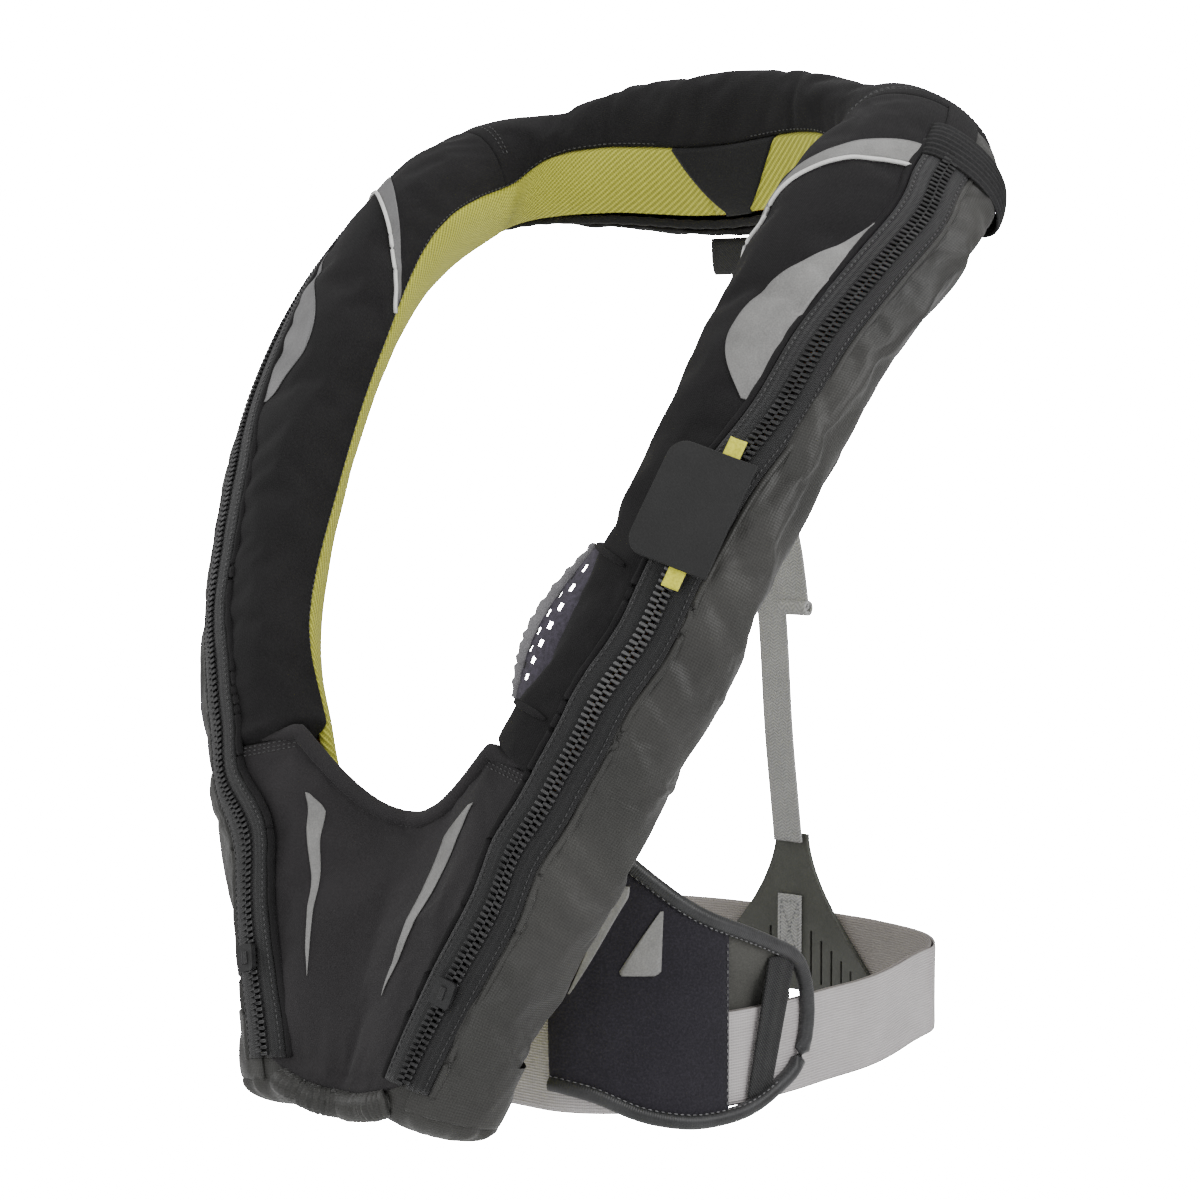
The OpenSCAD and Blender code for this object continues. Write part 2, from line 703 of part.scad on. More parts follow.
module back_plate() {
    // Fan of moulded plastic on the wearer's side of the belt, slit at its foot
    rows = 12;
    columns = 14;
    m = 2 * (columns + 1);
    neck = strap_width / 2 + 1;
    pace = norm(waist_route[1] - waist_route[0]) * (len(waist_route) - 1);
    function half(t) = mix(neck, plate_half_width, pow(t, 1.7)) / pace;
    points = [for (i = [0 : rows]) let (t = i / rows, z = plate_top - plate_height * t) each concat(
        [for (j = [0 : columns]) waist_at(mix(1, -1, j / columns) * half(t), -plate_inset, z)],
        [for (j = [columns : -1 : 0])
            waist_at(mix(1, -1, j / columns) * half(t), -plate_inset - plate_wall, z)])];
    color("#64665f") difference() {
        shell(points, m, rows, columns);
        for (k = [-3 : 3])
            if (k != 0)
                translate([k * 14, 120 * deep, plate_top - plate_height * (0.68 + 0.035 * abs(k))])
                    cube([2.2, 60, plate_height * 0.26], center = true);
    }
}

insert_down = 0.61 * plate_height;   // below the plate's top edge
insert_height = 40;
module strap_insert() {
    // Stitched end of the strap on the plate's inner face
    color("#8f9096")
        translate([0, waist(0)[1] - plate_inset - plate_wall - strap_thickness / 2 - 0.4,
                   plate_top - insert_down])
            cube([strap_width - 3, strap_thickness, insert_height], center = true);
}

slider_down = 118;      // how far below the collar the slider sits
module strap_slider() {
    // Three-bar slider that the webbing is threaded through
    frame = [strap_width + 9, 20, 4.6];
    color("#6f706c") on_strap(slider_down)
        difference() {
            cube(frame, center = true);
            cube([strap_width + 0.8, frame[1] + 1, strap_thickness + 0.6], center = true);
            for (s = [-1, 1])
                translate([0, s * 4.6, 0]) cube([strap_width + 0.8, 4, frame[2] + 1], center = true);
        }
}

// Free end of the webbing, measured from the slider: across, down, backwards
tail_route = [
    [3, 11, 1.6], [6, 22, 3], [10, 36, 5], [13, 52, 6], [14, 68, 6], [14, 84, 5],
];
module strap_tail() {
    // Ends in a fold that is rolled up and stitched
    steps = 10;
    half = strap_width / 2;
    fold = 4;
    function tail(t) = let (p = open_along(tail_route, t)) [p[0] + 6, -p[1], p[2]];
    points = [for (i = [0 : steps]) let (p = tail(i / steps)) each [
        p + [half, 0, 0], p - [half, 0, 0],
        p + [-half, 0, strap_thickness], p + [half, 0, strap_thickness]]];
    hem = tail(1);
    color("#9a9a98") on_strap(slider_down) {
        shell(points, 4, steps, 1);
        translate([hem[0], hem[1] - fold + 0.4, hem[2] + strap_thickness / 2])
            rotate([0, 90, 0]) cylinder(h = strap_width, r = fold, center = true);
    }
}

module collar_anchor() {
    // Folded loop under the rear collar that the strap's upper end is sewn into
    size = [strap_width + 6, 9, 20];
    collar_foot = outer_route[0];
    color("#2a2a2b") translate([0, collar_foot[1] + 1, collar_foot[2] - size[2] / 2 - 0.6])
        cube(size, center = true);
}

// ---------------------------------------------------------------- inflation set, right lobe

inflator_station = 0.66;
inflator_lift = 6.2;
lever_x = 7;
lever_y = -8;
pin_radius = 1.5;
module in_right(u, side = 0, lift = 0) { on_right() in_lobe(u, side, lift) children(); }

module inflator_body() {
    color("#d8d4c8") in_right(inflator_station, 0, inflator_lift)
        difference() {
            union() {
                cube([24, 34, 16], center = true);
                // Collar that the cylinder screws into
                translate([0, 17, 0]) rotate([-90, 0, 0]) cylinder(h = 12, r = 8.4);
            }
            translate([0, 18, 0]) rotate([-90, 0, 0]) cylinder(h = 12, r = 6.4);
            // Slot that the lever swings in
            translate([8, -12, 0]) cube([10, 26, 5], center = true);
            translate([lever_x, lever_y, 0]) cylinder(h = 18, r = pin_radius, center = true);
        }
}

// Steel pin that the lever turns on, pressed into the body
module lever_pin() {
    color("#b8b9bb") in_right(inflator_station, 0, inflator_lift)
        translate([lever_x, lever_y, 0]) cylinder(h = 15, r = pin_radius, center = true);
}

module inflator_nut() {
    color("#2b2b2d") in_right(inflator_station, -17, inflator_lift)
        rotate([0, 90, 0]) difference() {
            cylinder(h = 8, r = 7, center = true, $fn = 6);
            cylinder(h = 9, r = 3, center = true);
        }
}

module firing_lever() {
    color("#c62b26") in_right(inflator_station, 0, inflator_lift)
        difference() {
            union() {
                translate([lever_x, lever_y, 0]) cylinder(h = 4, r = 3.8, center = true);
                translate([lever_x, lever_y - 12, 0]) cube([4.6, 22, 4], center = true);
            }
            translate([lever_x, lever_y, 0])
                cylinder(h = 8, r = pin_radius + 0.06, center = true);
        }
}

module pull_handle() {
    // Moulded handle below the lever, tucked in behind the cover
    color("#e8c32a") in_right(inflator_station, 7, inflator_lift - 1)
        translate([-4, -46, 0]) difference() {
            cube([20, 26, 5], center = true);
            translate([0, 1, 0]) cylinder(h = 8, r = 4.5, center = true);
        }
}

module gas_cylinder() {
    neck = 9.5;
    neck_radius = 6;
    r = cylinder_diameter / 2;
    end = neck + cylinder_length;
    color("#8c8f92") in_right(inflator_station, 0, inflator_lift) translate([0, 18.6, 0])
        rotate([-90, 0, 0]) rotate_extrude()
            polygon([[0, 0], [neck_radius, 0], [neck_radius, neck], [r - 2, neck + 6], [r, neck + 10],
                [r, end - 10], [r - 3, end - 3], [0, end]]);
}

// ---------------------------------------------------------------- mouth tube, left lobe

tube_station = 0.68;
tube_side = -11;
tube_lift = 6.5;
module in_left_tube() { in_lobe(tube_station, tube_side, tube_lift) children(); }

module mouth_tube() {
    color("#e9c63b") in_left_tube() rotate([-90, 0, 0])
        difference() {
            cylinder(h = tube_length, r = tube_diameter / 2);
            translate([0, 0, 2]) cylinder(h = tube_length, r = tube_diameter / 2 - 1.6);
        }
}

module mouth_valve() {
    // Mouthpiece pushed over the tube, with a flange and a through bore
    color("#2a2a2c") in_left_tube() translate([0, tube_length + 0.3, 0]) rotate([-90, 0, 0])
        difference() {
            union() {
                cylinder(h = 4, r = tube_diameter / 2 + 1.4);
                translate([0, 0, 4]) cylinder(h = 12, r = tube_diameter / 2 - 0.4);
            }
            translate([0, 0, -1]) cylinder(h = 18, r = 3.6);
        }
}

module valve_plunger() {
    color("#c9c9c6") in_left_tube() translate([0, tube_length + 2.3, 0]) rotate([-90, 0, 0]) {
        cylinder(h = 11, r = 1.2);
        translate([0, 0, 9]) cylinder(h = 3, r = 3.1);
    }
}

module valve_cap() {
    color("#343436") in_left_tube() translate([0, tube_length + 5.4, 0]) rotate([-90, 0, 0])
        difference() {
            cylinder(h = 14, r = tube_diameter / 2 + 1.4);
            translate([0, 0, -1]) cylinder(h = 13, r = tube_diameter / 2);
        }
}

module whistle() {
    // Flat whistle in its pocket beside the mouth tube
    color("#f0efe8") in_lobe(tube_station - 0.005, 12, tube_lift)
        difference() {
            translate([0, 26, 0]) cube([13, 42, 7], center = true);
            translate([0, 20, 0]) cube([9, 36, 3.6], center = true);
            translate([0, 36, 2]) cube([9, 5, 8], center = true);
        }
}

// ---------------------------------------------------------------- assembly

bladder();
rear_collar_cover();
stretch_cover();  // left_stretch_cover
on_right() stretch_cover();  // right_stretch_cover
nylon_cover();  // left_nylon_cover
on_right() nylon_cover();  // right_nylon_cover
neck_lining();  // left_neck_lining
on_right() neck_lining();  // right_neck_lining
collar_patch();
collar_piping();
zip_tape();  // left_zip_tape
on_right() zip_tape();  // right_zip_tape
zip_chain();  // left_zip_chain
on_right() zip_chain();  // right_zip_chain
zip_slider();  // left_zip_slider
on_right() zip_slider();  // right_zip_slider
zip_garage();  // left_zip_garage
on_right() zip_garage();  // right_zip_garage
burst_flap();
burst_tabs();
slot_elastic();
slot_mesh();
shoulder_leaf();  // left_shoulder_leaf
on_right() shoulder_leaf();  // right_shoulder_leaf
shoulder_band();  // left_shoulder_band
on_right() shoulder_band();  // right_shoulder_band
bib_panel();
bib_slashes();
bib_neck_binding();
bib_hem();
side_panel();  // left_side_panel
on_right() side_panel();  // right_side_panel
panel_binding();  // left_panel_binding
on_right() panel_binding();  // right_panel_binding
panel_marks();
keeper_straps();
waist_belt();
buckle_socket();
buckle_tongue();
buckle_button();
belt_adjuster();
back_plate();
strap_insert();
back_strap();
strap_slider();
strap_tail();
collar_anchor();
inflator_body();
inflator_nut();
lever_pin();
firing_lever();
pull_handle();
gas_cylinder();
mouth_tube();
mouth_valve();
valve_plunger();
valve_cap();
whistle();
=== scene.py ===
from functools import lru_cache
from math import cos, degrees, floor, pi, radians, sin, sqrt

import bpy
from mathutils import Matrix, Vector, noise
from mathutils.bvhtree import BVHTree


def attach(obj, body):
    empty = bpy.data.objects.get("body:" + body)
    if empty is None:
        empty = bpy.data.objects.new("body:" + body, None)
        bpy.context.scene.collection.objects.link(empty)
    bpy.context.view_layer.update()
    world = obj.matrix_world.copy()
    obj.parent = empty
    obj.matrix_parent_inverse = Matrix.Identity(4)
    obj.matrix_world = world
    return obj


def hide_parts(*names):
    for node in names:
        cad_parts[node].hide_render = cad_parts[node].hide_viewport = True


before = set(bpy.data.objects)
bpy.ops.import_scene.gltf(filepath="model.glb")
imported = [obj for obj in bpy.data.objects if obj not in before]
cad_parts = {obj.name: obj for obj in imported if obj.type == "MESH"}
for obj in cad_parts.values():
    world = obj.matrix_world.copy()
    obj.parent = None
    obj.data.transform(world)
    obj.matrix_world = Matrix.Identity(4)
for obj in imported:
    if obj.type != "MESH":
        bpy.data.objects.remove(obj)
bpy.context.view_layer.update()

# Camera: in front of the jacket, a little to the wearer's left and slightly
# above the middle, looking a touch downwards.
aim = Vector((0.0, -0.0552, -0.184))
camera_data = bpy.data.cameras.new("studio_camera")
camera = bpy.data.objects.new("studio_camera", camera_data)
bpy.context.scene.collection.objects.link(camera)
bpy.context.scene.camera = camera
camera.location = (0.8475, -1.14, -0.0877)
camera.rotation_euler = (aim - camera.location).to_track_quat("-Z", "Y").to_euler()
camera_data.sensor_width = 36.0
camera_data.lens = 78.9
camera_data.clip_start = 0.05
camera_data.clip_end = 60.0

# Studio: a wide pale floor below the jacket and an even surround, both bright only
# to the camera, and four soft boxes for the sheen of the cloth.
bpy.ops.object.select_all(action="DESELECT")
bpy.ops.mesh.primitive_circle_add(vertices=96, radius=14.0, fill_type="NGON",
                                  location=(0.0, 0.0, -0.66))
floor_disc = bpy.context.active_object
floor_disc.name = "studio_floor"
floor_paint = bpy.data.materials.new("studio_floor")
floor_paint.use_nodes = True
floor_shader = floor_paint.node_tree.nodes["Principled BSDF"]
floor_shader.inputs["Base Color"].default_value = (0.93, 0.93, 0.93, 1.0)
floor_shader.inputs["Roughness"].default_value = 0.9
floor_shader.inputs["Emission Color"].default_value = (1, 1, 1, 1)
floor_seen = floor_paint.node_tree.nodes.new("ShaderNodeLightPath")
floor_gain = floor_paint.node_tree.nodes.new("ShaderNodeMapRange")
seen_brightness, surround_light = 40.0, 0.42
floor_gain.inputs["To Max"].default_value = seen_brightness
floor_paint.node_tree.links.new(floor_seen.outputs["Is Camera Ray"], floor_gain.inputs["Value"])
floor_paint.node_tree.links.new(floor_gain.outputs["Result"], floor_shader.inputs["Emission Strength"])
floor_disc.data.materials.append(floor_paint)
surround = bpy.data.worlds.new("studio_surround")
bpy.context.scene.world = surround
surround.use_nodes = True
backdrop = surround.node_tree.nodes["Background"]
backdrop.inputs["Color"].default_value = (1.0, 1.0, 1.0, 1.0)
seen_or_lit = surround.node_tree.nodes.new("ShaderNodeLightPath")
strength = surround.node_tree.nodes.new("ShaderNodeMapRange")
strength.inputs["To Min"].default_value = surround_light
strength.inputs["To Max"].default_value = seen_brightness
surround.node_tree.links.new(seen_or_lit.outputs["Is Camera Ray"], strength.inputs["Value"])
surround.node_tree.links.new(strength.outputs["Result"], backdrop.inputs["Strength"])


def soft_box(name, place, width, power):
    """A square lamp that faces the jacket."""
    data = bpy.data.lights.new(name, "AREA")
    data.shape = "SQUARE"
    data.size = width
    data.energy = power
    box = bpy.data.objects.new(name, data)
    bpy.context.scene.collection.objects.link(box)
    box.location = place
    box.rotation_euler = (aim - Vector(place)).to_track_quat("-Z", "Y").to_euler()


soft_box("right_box", (2.1, -0.1, 0.9), 1.3, 34.0)
soft_box("front_box", (0.3, -2.3, 0.6), 1.4, 16.0)
soft_box("top_box", (0.2, 0.3, 2.2), 1.2, 20.0)
soft_box("left_box", (-1.9, -0.9, 0.7), 1.2, 14.0)


# Padded horseshoe: two lobes and a rear collar, swept along an inner and an
# outer edge. Its cloth pieces are cut to these stations (0 behind the neck,
# 1 at the foot of a lobe) and angles round the lobe (90 front, 180 neck edge).
neck_route = [Vector(p) for p in (
    (0, .05, .1), (.066, .042, .094), (.114, .004, .066), (.115, -.062, .024),
    (.108, -.113, -.048), (.1, -.155, -.118), (.086, -.194, -.187), (.06, -.208, -.24),
    (.032, -.22, -.3), (.008, -.248, -.422))]
outer_route = [Vector(p) for p in (
    (0, .065, .012), (.084, .058, .02), (.172, .042, .028), (.2, -.01, -.008),
    (.198, -.084, -.066), (.182, -.14, -.148), (.156, -.17, -.222), (.134, -.192, -.28),
    (.108, -.212, -.34), (.072, -.236, -.428))]
fullness = (.77, .86, 1.12, 1.12, 1.02, 1.03, 1.04, 1, .94, .84)
zip_angles = (92, 90, 74, 66, 66, 80, 90, 90, 86, 106)
lining_angles = (262, 254, 226, 204, 200, 200, 200, 204, 210, 210)
collar_thick, lobe_thick = 0.04 / 0.77, 0.052
shoulder, bib_top, lobe_foot = 0.235, 0.775, 0.985
zip_top, zip_foot = 0.3, 0.975
lining_end, nylon_start, collar_start = 318, -40, -22
cover_wall = 0.0024
chain_half, tape_wide = 0.00325, 0.01


def mix(a, b, t):
    return a + (b - a) * t


def flipped(p):
    """A point moved to the other side of the jacket. A plain number stays."""
    return Vector((-p.x, p.y, p.z)) if isinstance(p, Vector) else p


def on_side(p, side):
    """A point of the left lobe, or its mirror on the right one, where side is -1."""
    return p if side > 0 else flipped(p)


def along(marks, u):
    """Smooth curve through marks, for u from 0 to 1, symmetrical at its start."""
    last = len(marks) - 1
    s = min(max(u, 0.0), 1.0) * last
    i = min(int(floor(s)), last - 1)
    t = s - i
    a = flipped(marks[1]) if i == 0 else marks[i - 1]
    b, c = marks[i], marks[i + 1]
    d = 2 * marks[last] - marks[last - 1] if i + 2 > last else marks[i + 2]
    return (b + (c - a) * (t / 2) + (a - 2.5 * b + 2 * c - d / 2) * t ** 2
            + (1.5 * b - a / 2 - 1.5 * c + d / 2) * t ** 3)


@lru_cache(None)
def lobe_frame(u):
    """Middle, way across, way out of the front, half width and half thickness."""
    inner, outer = along(neck_route, u), along(outer_route, u)
    middle, over = (inner + outer) / 2, (outer - inner).normalized()
    step = 0.004

    def centre(v):
        return (along(neck_route, v) + along(outer_route, v)) / 2
    if u < step:
        way = Vector((1, 0, 0))
    else:
        way = (centre(min(u + step, 1)) - centre(u - step)).normalized()
    thick = mix(collar_thick, lobe_thick, min(1, u / shoulder)) * along(fullness, u) / 2
    return middle, over, way.cross(over).normalized(), (outer - inner).length / 2, thick


def lobe(u, angle, lift=0.0):
    """A point on the lobes: a negative station is on the right one."""
    middle, over, out, half, thick = lobe_frame(round(abs(u), 5))
    a = radians(angle)
    p = middle + over * ((half + lift) * cos(a)) + out * ((thick + lift) * sin(a))
    return flipped(p) if u < 0 else p


def zip_angle(u):
    return along(zip_angles, abs(u))


def lining_angle(u):
    return along(lining_angles, abs(u))


def turn_of(width, u):
    """Degrees round the lobe that a width near its front takes."""
    degrees_in_radian = 57.3
    return width / lobe_frame(round(abs(u), 5))[3] * degrees_in_radian


def only(piece):
    """Selects one piece and nothing else."""
    bpy.ops.object.select_all(action="DESELECT")
    piece.select_set(True)
    bpy.context.view_layer.objects.active = piece
    return piece


def finish_modifier(piece, kind, **settings):
    """Adds one modifier, sets it and applies it."""
    modifier = piece.modifiers.new(kind.lower(), kind)
    for key, value in settings.items():
        setattr(modifier, key, value)
    only(piece)
    bpy.ops.object.modifier_apply(modifier=modifier.name)
    return piece


def in_edit(piece, *edits):
    """Mesh edits on the whole of a piece: each is an operator and its settings."""
    only(piece)
    bpy.ops.object.mode_set(mode="EDIT")
    bpy.ops.mesh.select_all(action="SELECT")
    for edit, settings in edits:
        edit(**settings)
    bpy.ops.object.mode_set(mode="OBJECT")
    return piece


face_outward = (bpy.ops.mesh.normals_make_consistent, {"inside": False})


def new_piece(name, points, faces, lays=None, smooth=True):
    """A piece from its points and faces; lays are its cloth coordinates in metres."""
    data = bpy.data.meshes.new(name)
    data.from_pydata([tuple(p) for p in points], [], faces)
    if lays:
        layer = data.uv_layers.new(name="cloth")
        for loop in data.loops:
            layer.data[loop.index].uv = lays[loop.vertex_index]
    if smooth:
        data.shade_smooth()
    data.update()
    piece = bpy.data.objects.new(name, data)
    bpy.context.scene.collection.objects.link(piece)
    return piece


def sewn_sheet(name, rows, wall=0.0, right=False, hoop=False, core=None):
    """Cloth laid through rows of points, with a wall behind it. The right-hand
    piece is the same cut turned over. Its outer face looks away from core."""
    if right:
        rows = [[flipped(p) for p in reversed(row)] for row in rows]
    m = len(rows[0])
    if core:
        middle_row = rows[len(rows) // 2]
        tall, wide = rows[-1][m // 2] - rows[0][m // 2], middle_row[-1] - middle_row[0]
        if wide.cross(tall).dot(middle_row[m // 2] - core) < 0:
            rows = [list(reversed(row)) for row in rows]
    down, lays = 0.0, []
    for i, row in enumerate(rows):
        if i:
            down += sum((a - b).length for a, b in zip(row, rows[i - 1])) / m
        over = 0.0
        for j, p in enumerate(row):
            if j:
                over += (p - row[j - 1]).length
            lays.append((over, down))
    faces = [(i * m + j, i * m + (j + 1) % m, (i + 1) * m + (j + 1) % m, (i + 1) * m + j)
             for i in range(len(rows) - 1) for j in range(m if hoop else m - 1)]
    piece = new_piece(name, [p for row in rows for p in row], faces, lays)
    if wall:
        finish_modifier(piece, "SOLIDIFY", thickness=wall, offset=-1.0)
    return piece


def lobe_rows(u0, u1, a0, a1, lift, nu, na):
    """Rows of points over a lobe, from station u0 to u1 and from edge a0 to a1."""
    return [[lobe(u, mix(a0(u), a1(u), j / na), lift(u, mix(a0(u), a1(u), j / na))
                  if callable(lift) else lift) for j in range(na + 1)]
            for u in (mix(u0, u1, i / nu) for i in range(nu + 1))]


def rolled(name, path, radius, sides=10, closed=False, flat=1.0):
    """A round roll of cloth along a path, closed at its ends. radius may be a list."""
    n = len(path)
    radii = radius if isinstance(radius, list) else [radius] * n
    rings, lays, run = [], [], 0.0
    for i, p in enumerate(path):
        a = path[(i - 1) % n if closed else max(i - 1, 0)]
        b = path[(i + 1) % n if closed else min(i + 1, n - 1)]
        way = (b - a).normalized()
        side = way.cross(Vector((0, 1, 0)) if abs(way.z) > 0.9 else Vector((0, 0, 1))).normalized()
        up = way.cross(side)
        run += (p - path[i - 1]).length if i else 0.0
        for k in range(sides):
            angle = 2 * pi * k / sides
            rings.append(p + side * (radii[i] * cos(angle)) + up * (radii[i] * sin(angle) * flat))
            lays.append((radii[i] * angle, run))
    faces = [(i * sides + k, i * sides + (k + 1) % sides,
              (i + 1) % n * sides + (k + 1) % sides, (i + 1) % n * sides + k)
             for i in range(n if closed else n - 1) for k in range(sides)]
    faces = [tuple(reversed(f)) for f in faces]
    if not closed:
        faces.append(tuple(range(sides)))
        faces.append(tuple(reversed(range((n - 1) * sides, n * sides))))
    return in_edit(new_piece(name, rings, faces, lays), face_outward)


def stitched(name, paths, pitch=0.003, length=0.0021, radius=0.00035):
    """Thread along paths: one small spindle a stitch, half sunk in the cloth."""
    points, faces = [], []
    for path in paths:
        runs = [0.0]
        for a, b in zip(path, path[1:]):
            runs.append(runs[-1] + (b - a).length)
        count, k = max(1, int(runs[-1] / pitch)), 0
        for s in range(count):
            ends = []
            for at in (s * pitch, s * pitch + length):
                while k < len(path) - 2 and runs[k + 1] < at:
                    k += 1
                t = (at - runs[k]) / max(1e-9, runs[k + 1] - runs[k])
                ends.append(path[k].lerp(path[k + 1], min(t, 1.0)))
            a, b = ends
            way = (b - a).normalized()
            side = way.cross(Vector((0.3, 0.9, 0.31))).normalized() * radius
            up = way.cross(side)
            base = len(points)
            inner = [a.lerp(b, 0.25), a.lerp(b, 0.75)]
            points += [a, b] + [q + o for q in inner for o in (side, up, -side, -up)]
            for e in range(4):
                f = (e + 1) % 4
                faces += [(base, base + 2 + f, base + 2 + e),
                          (base + 2 + e, base + 2 + f, base + 6 + f, base + 6 + e),
                          (base + 1, base + 6 + e, base + 6 + f)]
    return new_piece(name, points, faces)


def settled(piece, held, slack, pressure, cap, stiffness=8.0, bending=0.3):
    """Lets cut cloth with a little to spare wrinkle between the places where it is
    held. No point moves further than cap."""
    start = [v.co.copy() for v in piece.data.vertices]
    group = piece.vertex_groups.new(name="held")
    for index, weight in held.items():
        group.add([index], weight, "REPLACE")
    cloth = piece.modifiers.new("cloth", "CLOTH")
    cut = cloth.settings
    cut.quality = 7
    cut.mass = 0.15
    cut.tension_stiffness = cut.compression_stiffness = stiffness
    cut.shear_stiffness = stiffness / 2
    cut.bending_stiffness = bending
    cut.shrink_min = -slack
    cut.use_pressure = True
    cut.uniform_pressure_force = pressure
    cut.vertex_group_mass = "held"
    cut.effector_weights.gravity = 0.0
    cloth.point_cache.frame_start, cloth.point_cache.frame_end = 1, 20
    for step in range(1, 21):
        bpy.context.scene.frame_set(step)
    only(piece)
    bpy.ops.object.modifier_apply(modifier="cloth")
    bpy.context.scene.frame_set(1)
    for v, rest in zip(piece.data.vertices, start):
        shift = v.co - rest
        if shift.length > cap:
            v.co = rest + shift * (cap / shift.length)
    return piece


class Value:
    """A number that a finish works out at each point of the surface."""

    def __init__(self, finish, socket):
        self.finish, self.socket = finish, socket

    def sum(self, operation, *others, first=False):
        parts = (*others, self) if first else (self, *others)
        return self.finish.node("ShaderNodeMath", {"operation": operation}, *parts)

    def __add__(self, other):
        return self.sum("ADD", other)

    def __radd__(self, other):
        return self.sum("ADD", other)

    def __sub__(self, other):
        return self.sum("SUBTRACT", other)

    def __rsub__(self, other):
        return self.sum("SUBTRACT", other, first=True)

    def __mul__(self, other):
        return self.sum("MULTIPLY", other)

    def __rmul__(self, other):
        return self.sum("MULTIPLY", other)

    def __truediv__(self, other):
        return self.sum("DIVIDE", other)

    def __pow__(self, other):
        return self.sum("POWER", other)

    def __gt__(self, other):
        return self.sum("GREATER_THAN", other)

    def wave(self):
        return self.sum("SINE") * 0.5 + 0.5

    def fraction(self):
        return self.sum("FRACT")

    def size(self):
        return self.sum("ABSOLUTE")


class Finish:
    """A surface finish made of nodes, on one shader."""

    def __init__(self, name, **fixed):
        self.material = bpy.data.materials.new(name)
        self.material.use_nodes = True
        self.tree = self.material.node_tree
        self.shader = self.tree.nodes["Principled BSDF"]
        self.set(**fixed)

    def set(self, **inputs):
        """Sets the shader's inputs: colours and numbers, or worked out values."""
        for key, value in inputs.items():
            self.plug(self.shader.inputs[key.replace("_", " ")], value)
        return self

    def plug(self, socket, value):
        if isinstance(value, Value):
            self.tree.links.new(value.socket, socket)
        elif value is not None:
            if socket.type == "RGBA" and len(value) == 3:
                value = (*value, 1.0)
            socket.default_value = value

    def node(self, kind, settings=None, *inputs, out=0, **named):
        made = self.tree.nodes.new(kind)
        for key, value in (settings or {}).items():
            if key == "stops":
                ramp = made.color_ramp
                while len(ramp.elements) < len(value):
                    ramp.elements.new(1.0)
                for element, (place, colour) in zip(ramp.elements, value):
                    element.position, element.color = place, (*colour, 1.0)
            else:
                setattr(made, key, value)
        for socket, value in zip(made.inputs, inputs):
            self.plug(socket, value)
        for key, value in named.items():
            self.plug(made.inputs[key.replace("_", " ")], value)
        return Value(self, made.outputs[out])

    def cloth(self):
        """The two cloth coordinates, in metres across and down the cut piece."""
        lay = self.node("ShaderNodeUVMap", {"uv_map": "cloth"})
        return [self.node("ShaderNodeSeparateXYZ", None, lay, out=i) for i in (0, 1)]

    def place(self):
        return self.node("ShaderNodeTexCoord", out="Object")

    def grain(self, size, detail=2.0, vector=None, roughness=0.5):
        """Soft noise with patches of about one size, in metres."""
        return self.node("ShaderNodeTexNoise", None, Vector=vector or self.place(),
                         Scale=1.0 / size, Detail=detail, Roughness=roughness)

    def shades(self, by, *stops):
        return self.node("ShaderNodeValToRGB", {"stops": stops}, by)

    def blend(self, by, a, b):
        mixer = self.tree.nodes.new("ShaderNodeMix")
        mixer.data_type = "RGBA"
        for socket, value in ((mixer.inputs["Factor"], by), (mixer.inputs[6], a),
                              (mixer.inputs[7], b)):
            self.plug(socket, value)
        return Value(self, mixer.outputs[2])

    def raised(self, height, depth, strength=1.0, over=None):
        """A bump whose height runs from 0 to 1 over depth metres."""
        return self.node("ShaderNodeBump", None, Strength=strength, Distance=depth,
                         Height=height, Normal=over)

    def on(self, *pieces):
        for piece in pieces:
            piece.data.materials.clear()
            piece.data.materials.append(self.material)
        return self


def put(piece, body, *nodes, slot=None, fill=None, flat=None, held="stretched", on=()):
    """Fixes a finished piece to a body, in place of the nodes it stands for. Its fill and flat size are not
    used."""
    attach(piece, body)
    if nodes:
        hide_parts(*nodes)
    return piece


# Stretch covers: matt knitted stretch cloth over thin foam, one over the rear
# collar and one down the neck side of each lobe, sewn to each other, to the
# lining and to the zip tapes with a little ease, so the cloth lies in soft folds.
def knitted(name, dark, light, sheen=0.06):
    """Close knit: fine ribs one way, a speck of light in the dark yarn."""
    knit = Finish(name, Sheen_Weight=sheen, Sheen_Roughness=0.45, Specular_IOR_Level=0.2)
    over, down = knit.cloth()
    cloudy = knit.grain(0.05, 3.0)
    speck = knit.grain(0.0009, 2.0)
    loops = (over * (2 * pi / 0.0011)).wave() * (down * (2 * pi / 0.0008)).wave()
    knit.set(Base_Color=knit.shades(cloudy * 0.6 + speck * 0.4, (0.3, dark), (0.72, light)),
             Roughness=cloudy * 0.12 + 0.72,
             Normal=knit.raised(loops * 0.7 + speck * 0.5, 0.00022, 0.7))
    return knit


def near_seam(u, marks, reach):
    """How close a station is to a seam: 1 on it, 0 a reach away."""
    return max([0.0] + [1 - abs(abs(u) - mark) / reach for mark in marks])


def soft_folds(u, angle, seed, height):
    """Slow swells of padded cloth, drawn out round the lobe."""
    spot = Vector((u * 22 + seed, angle / 75, seed * 0.7))
    return height * (noise.noise(spot) + 0.45 * noise.noise(spot * 2.3))


seam_depth, bib_clearance = 0.0014, 0.0095


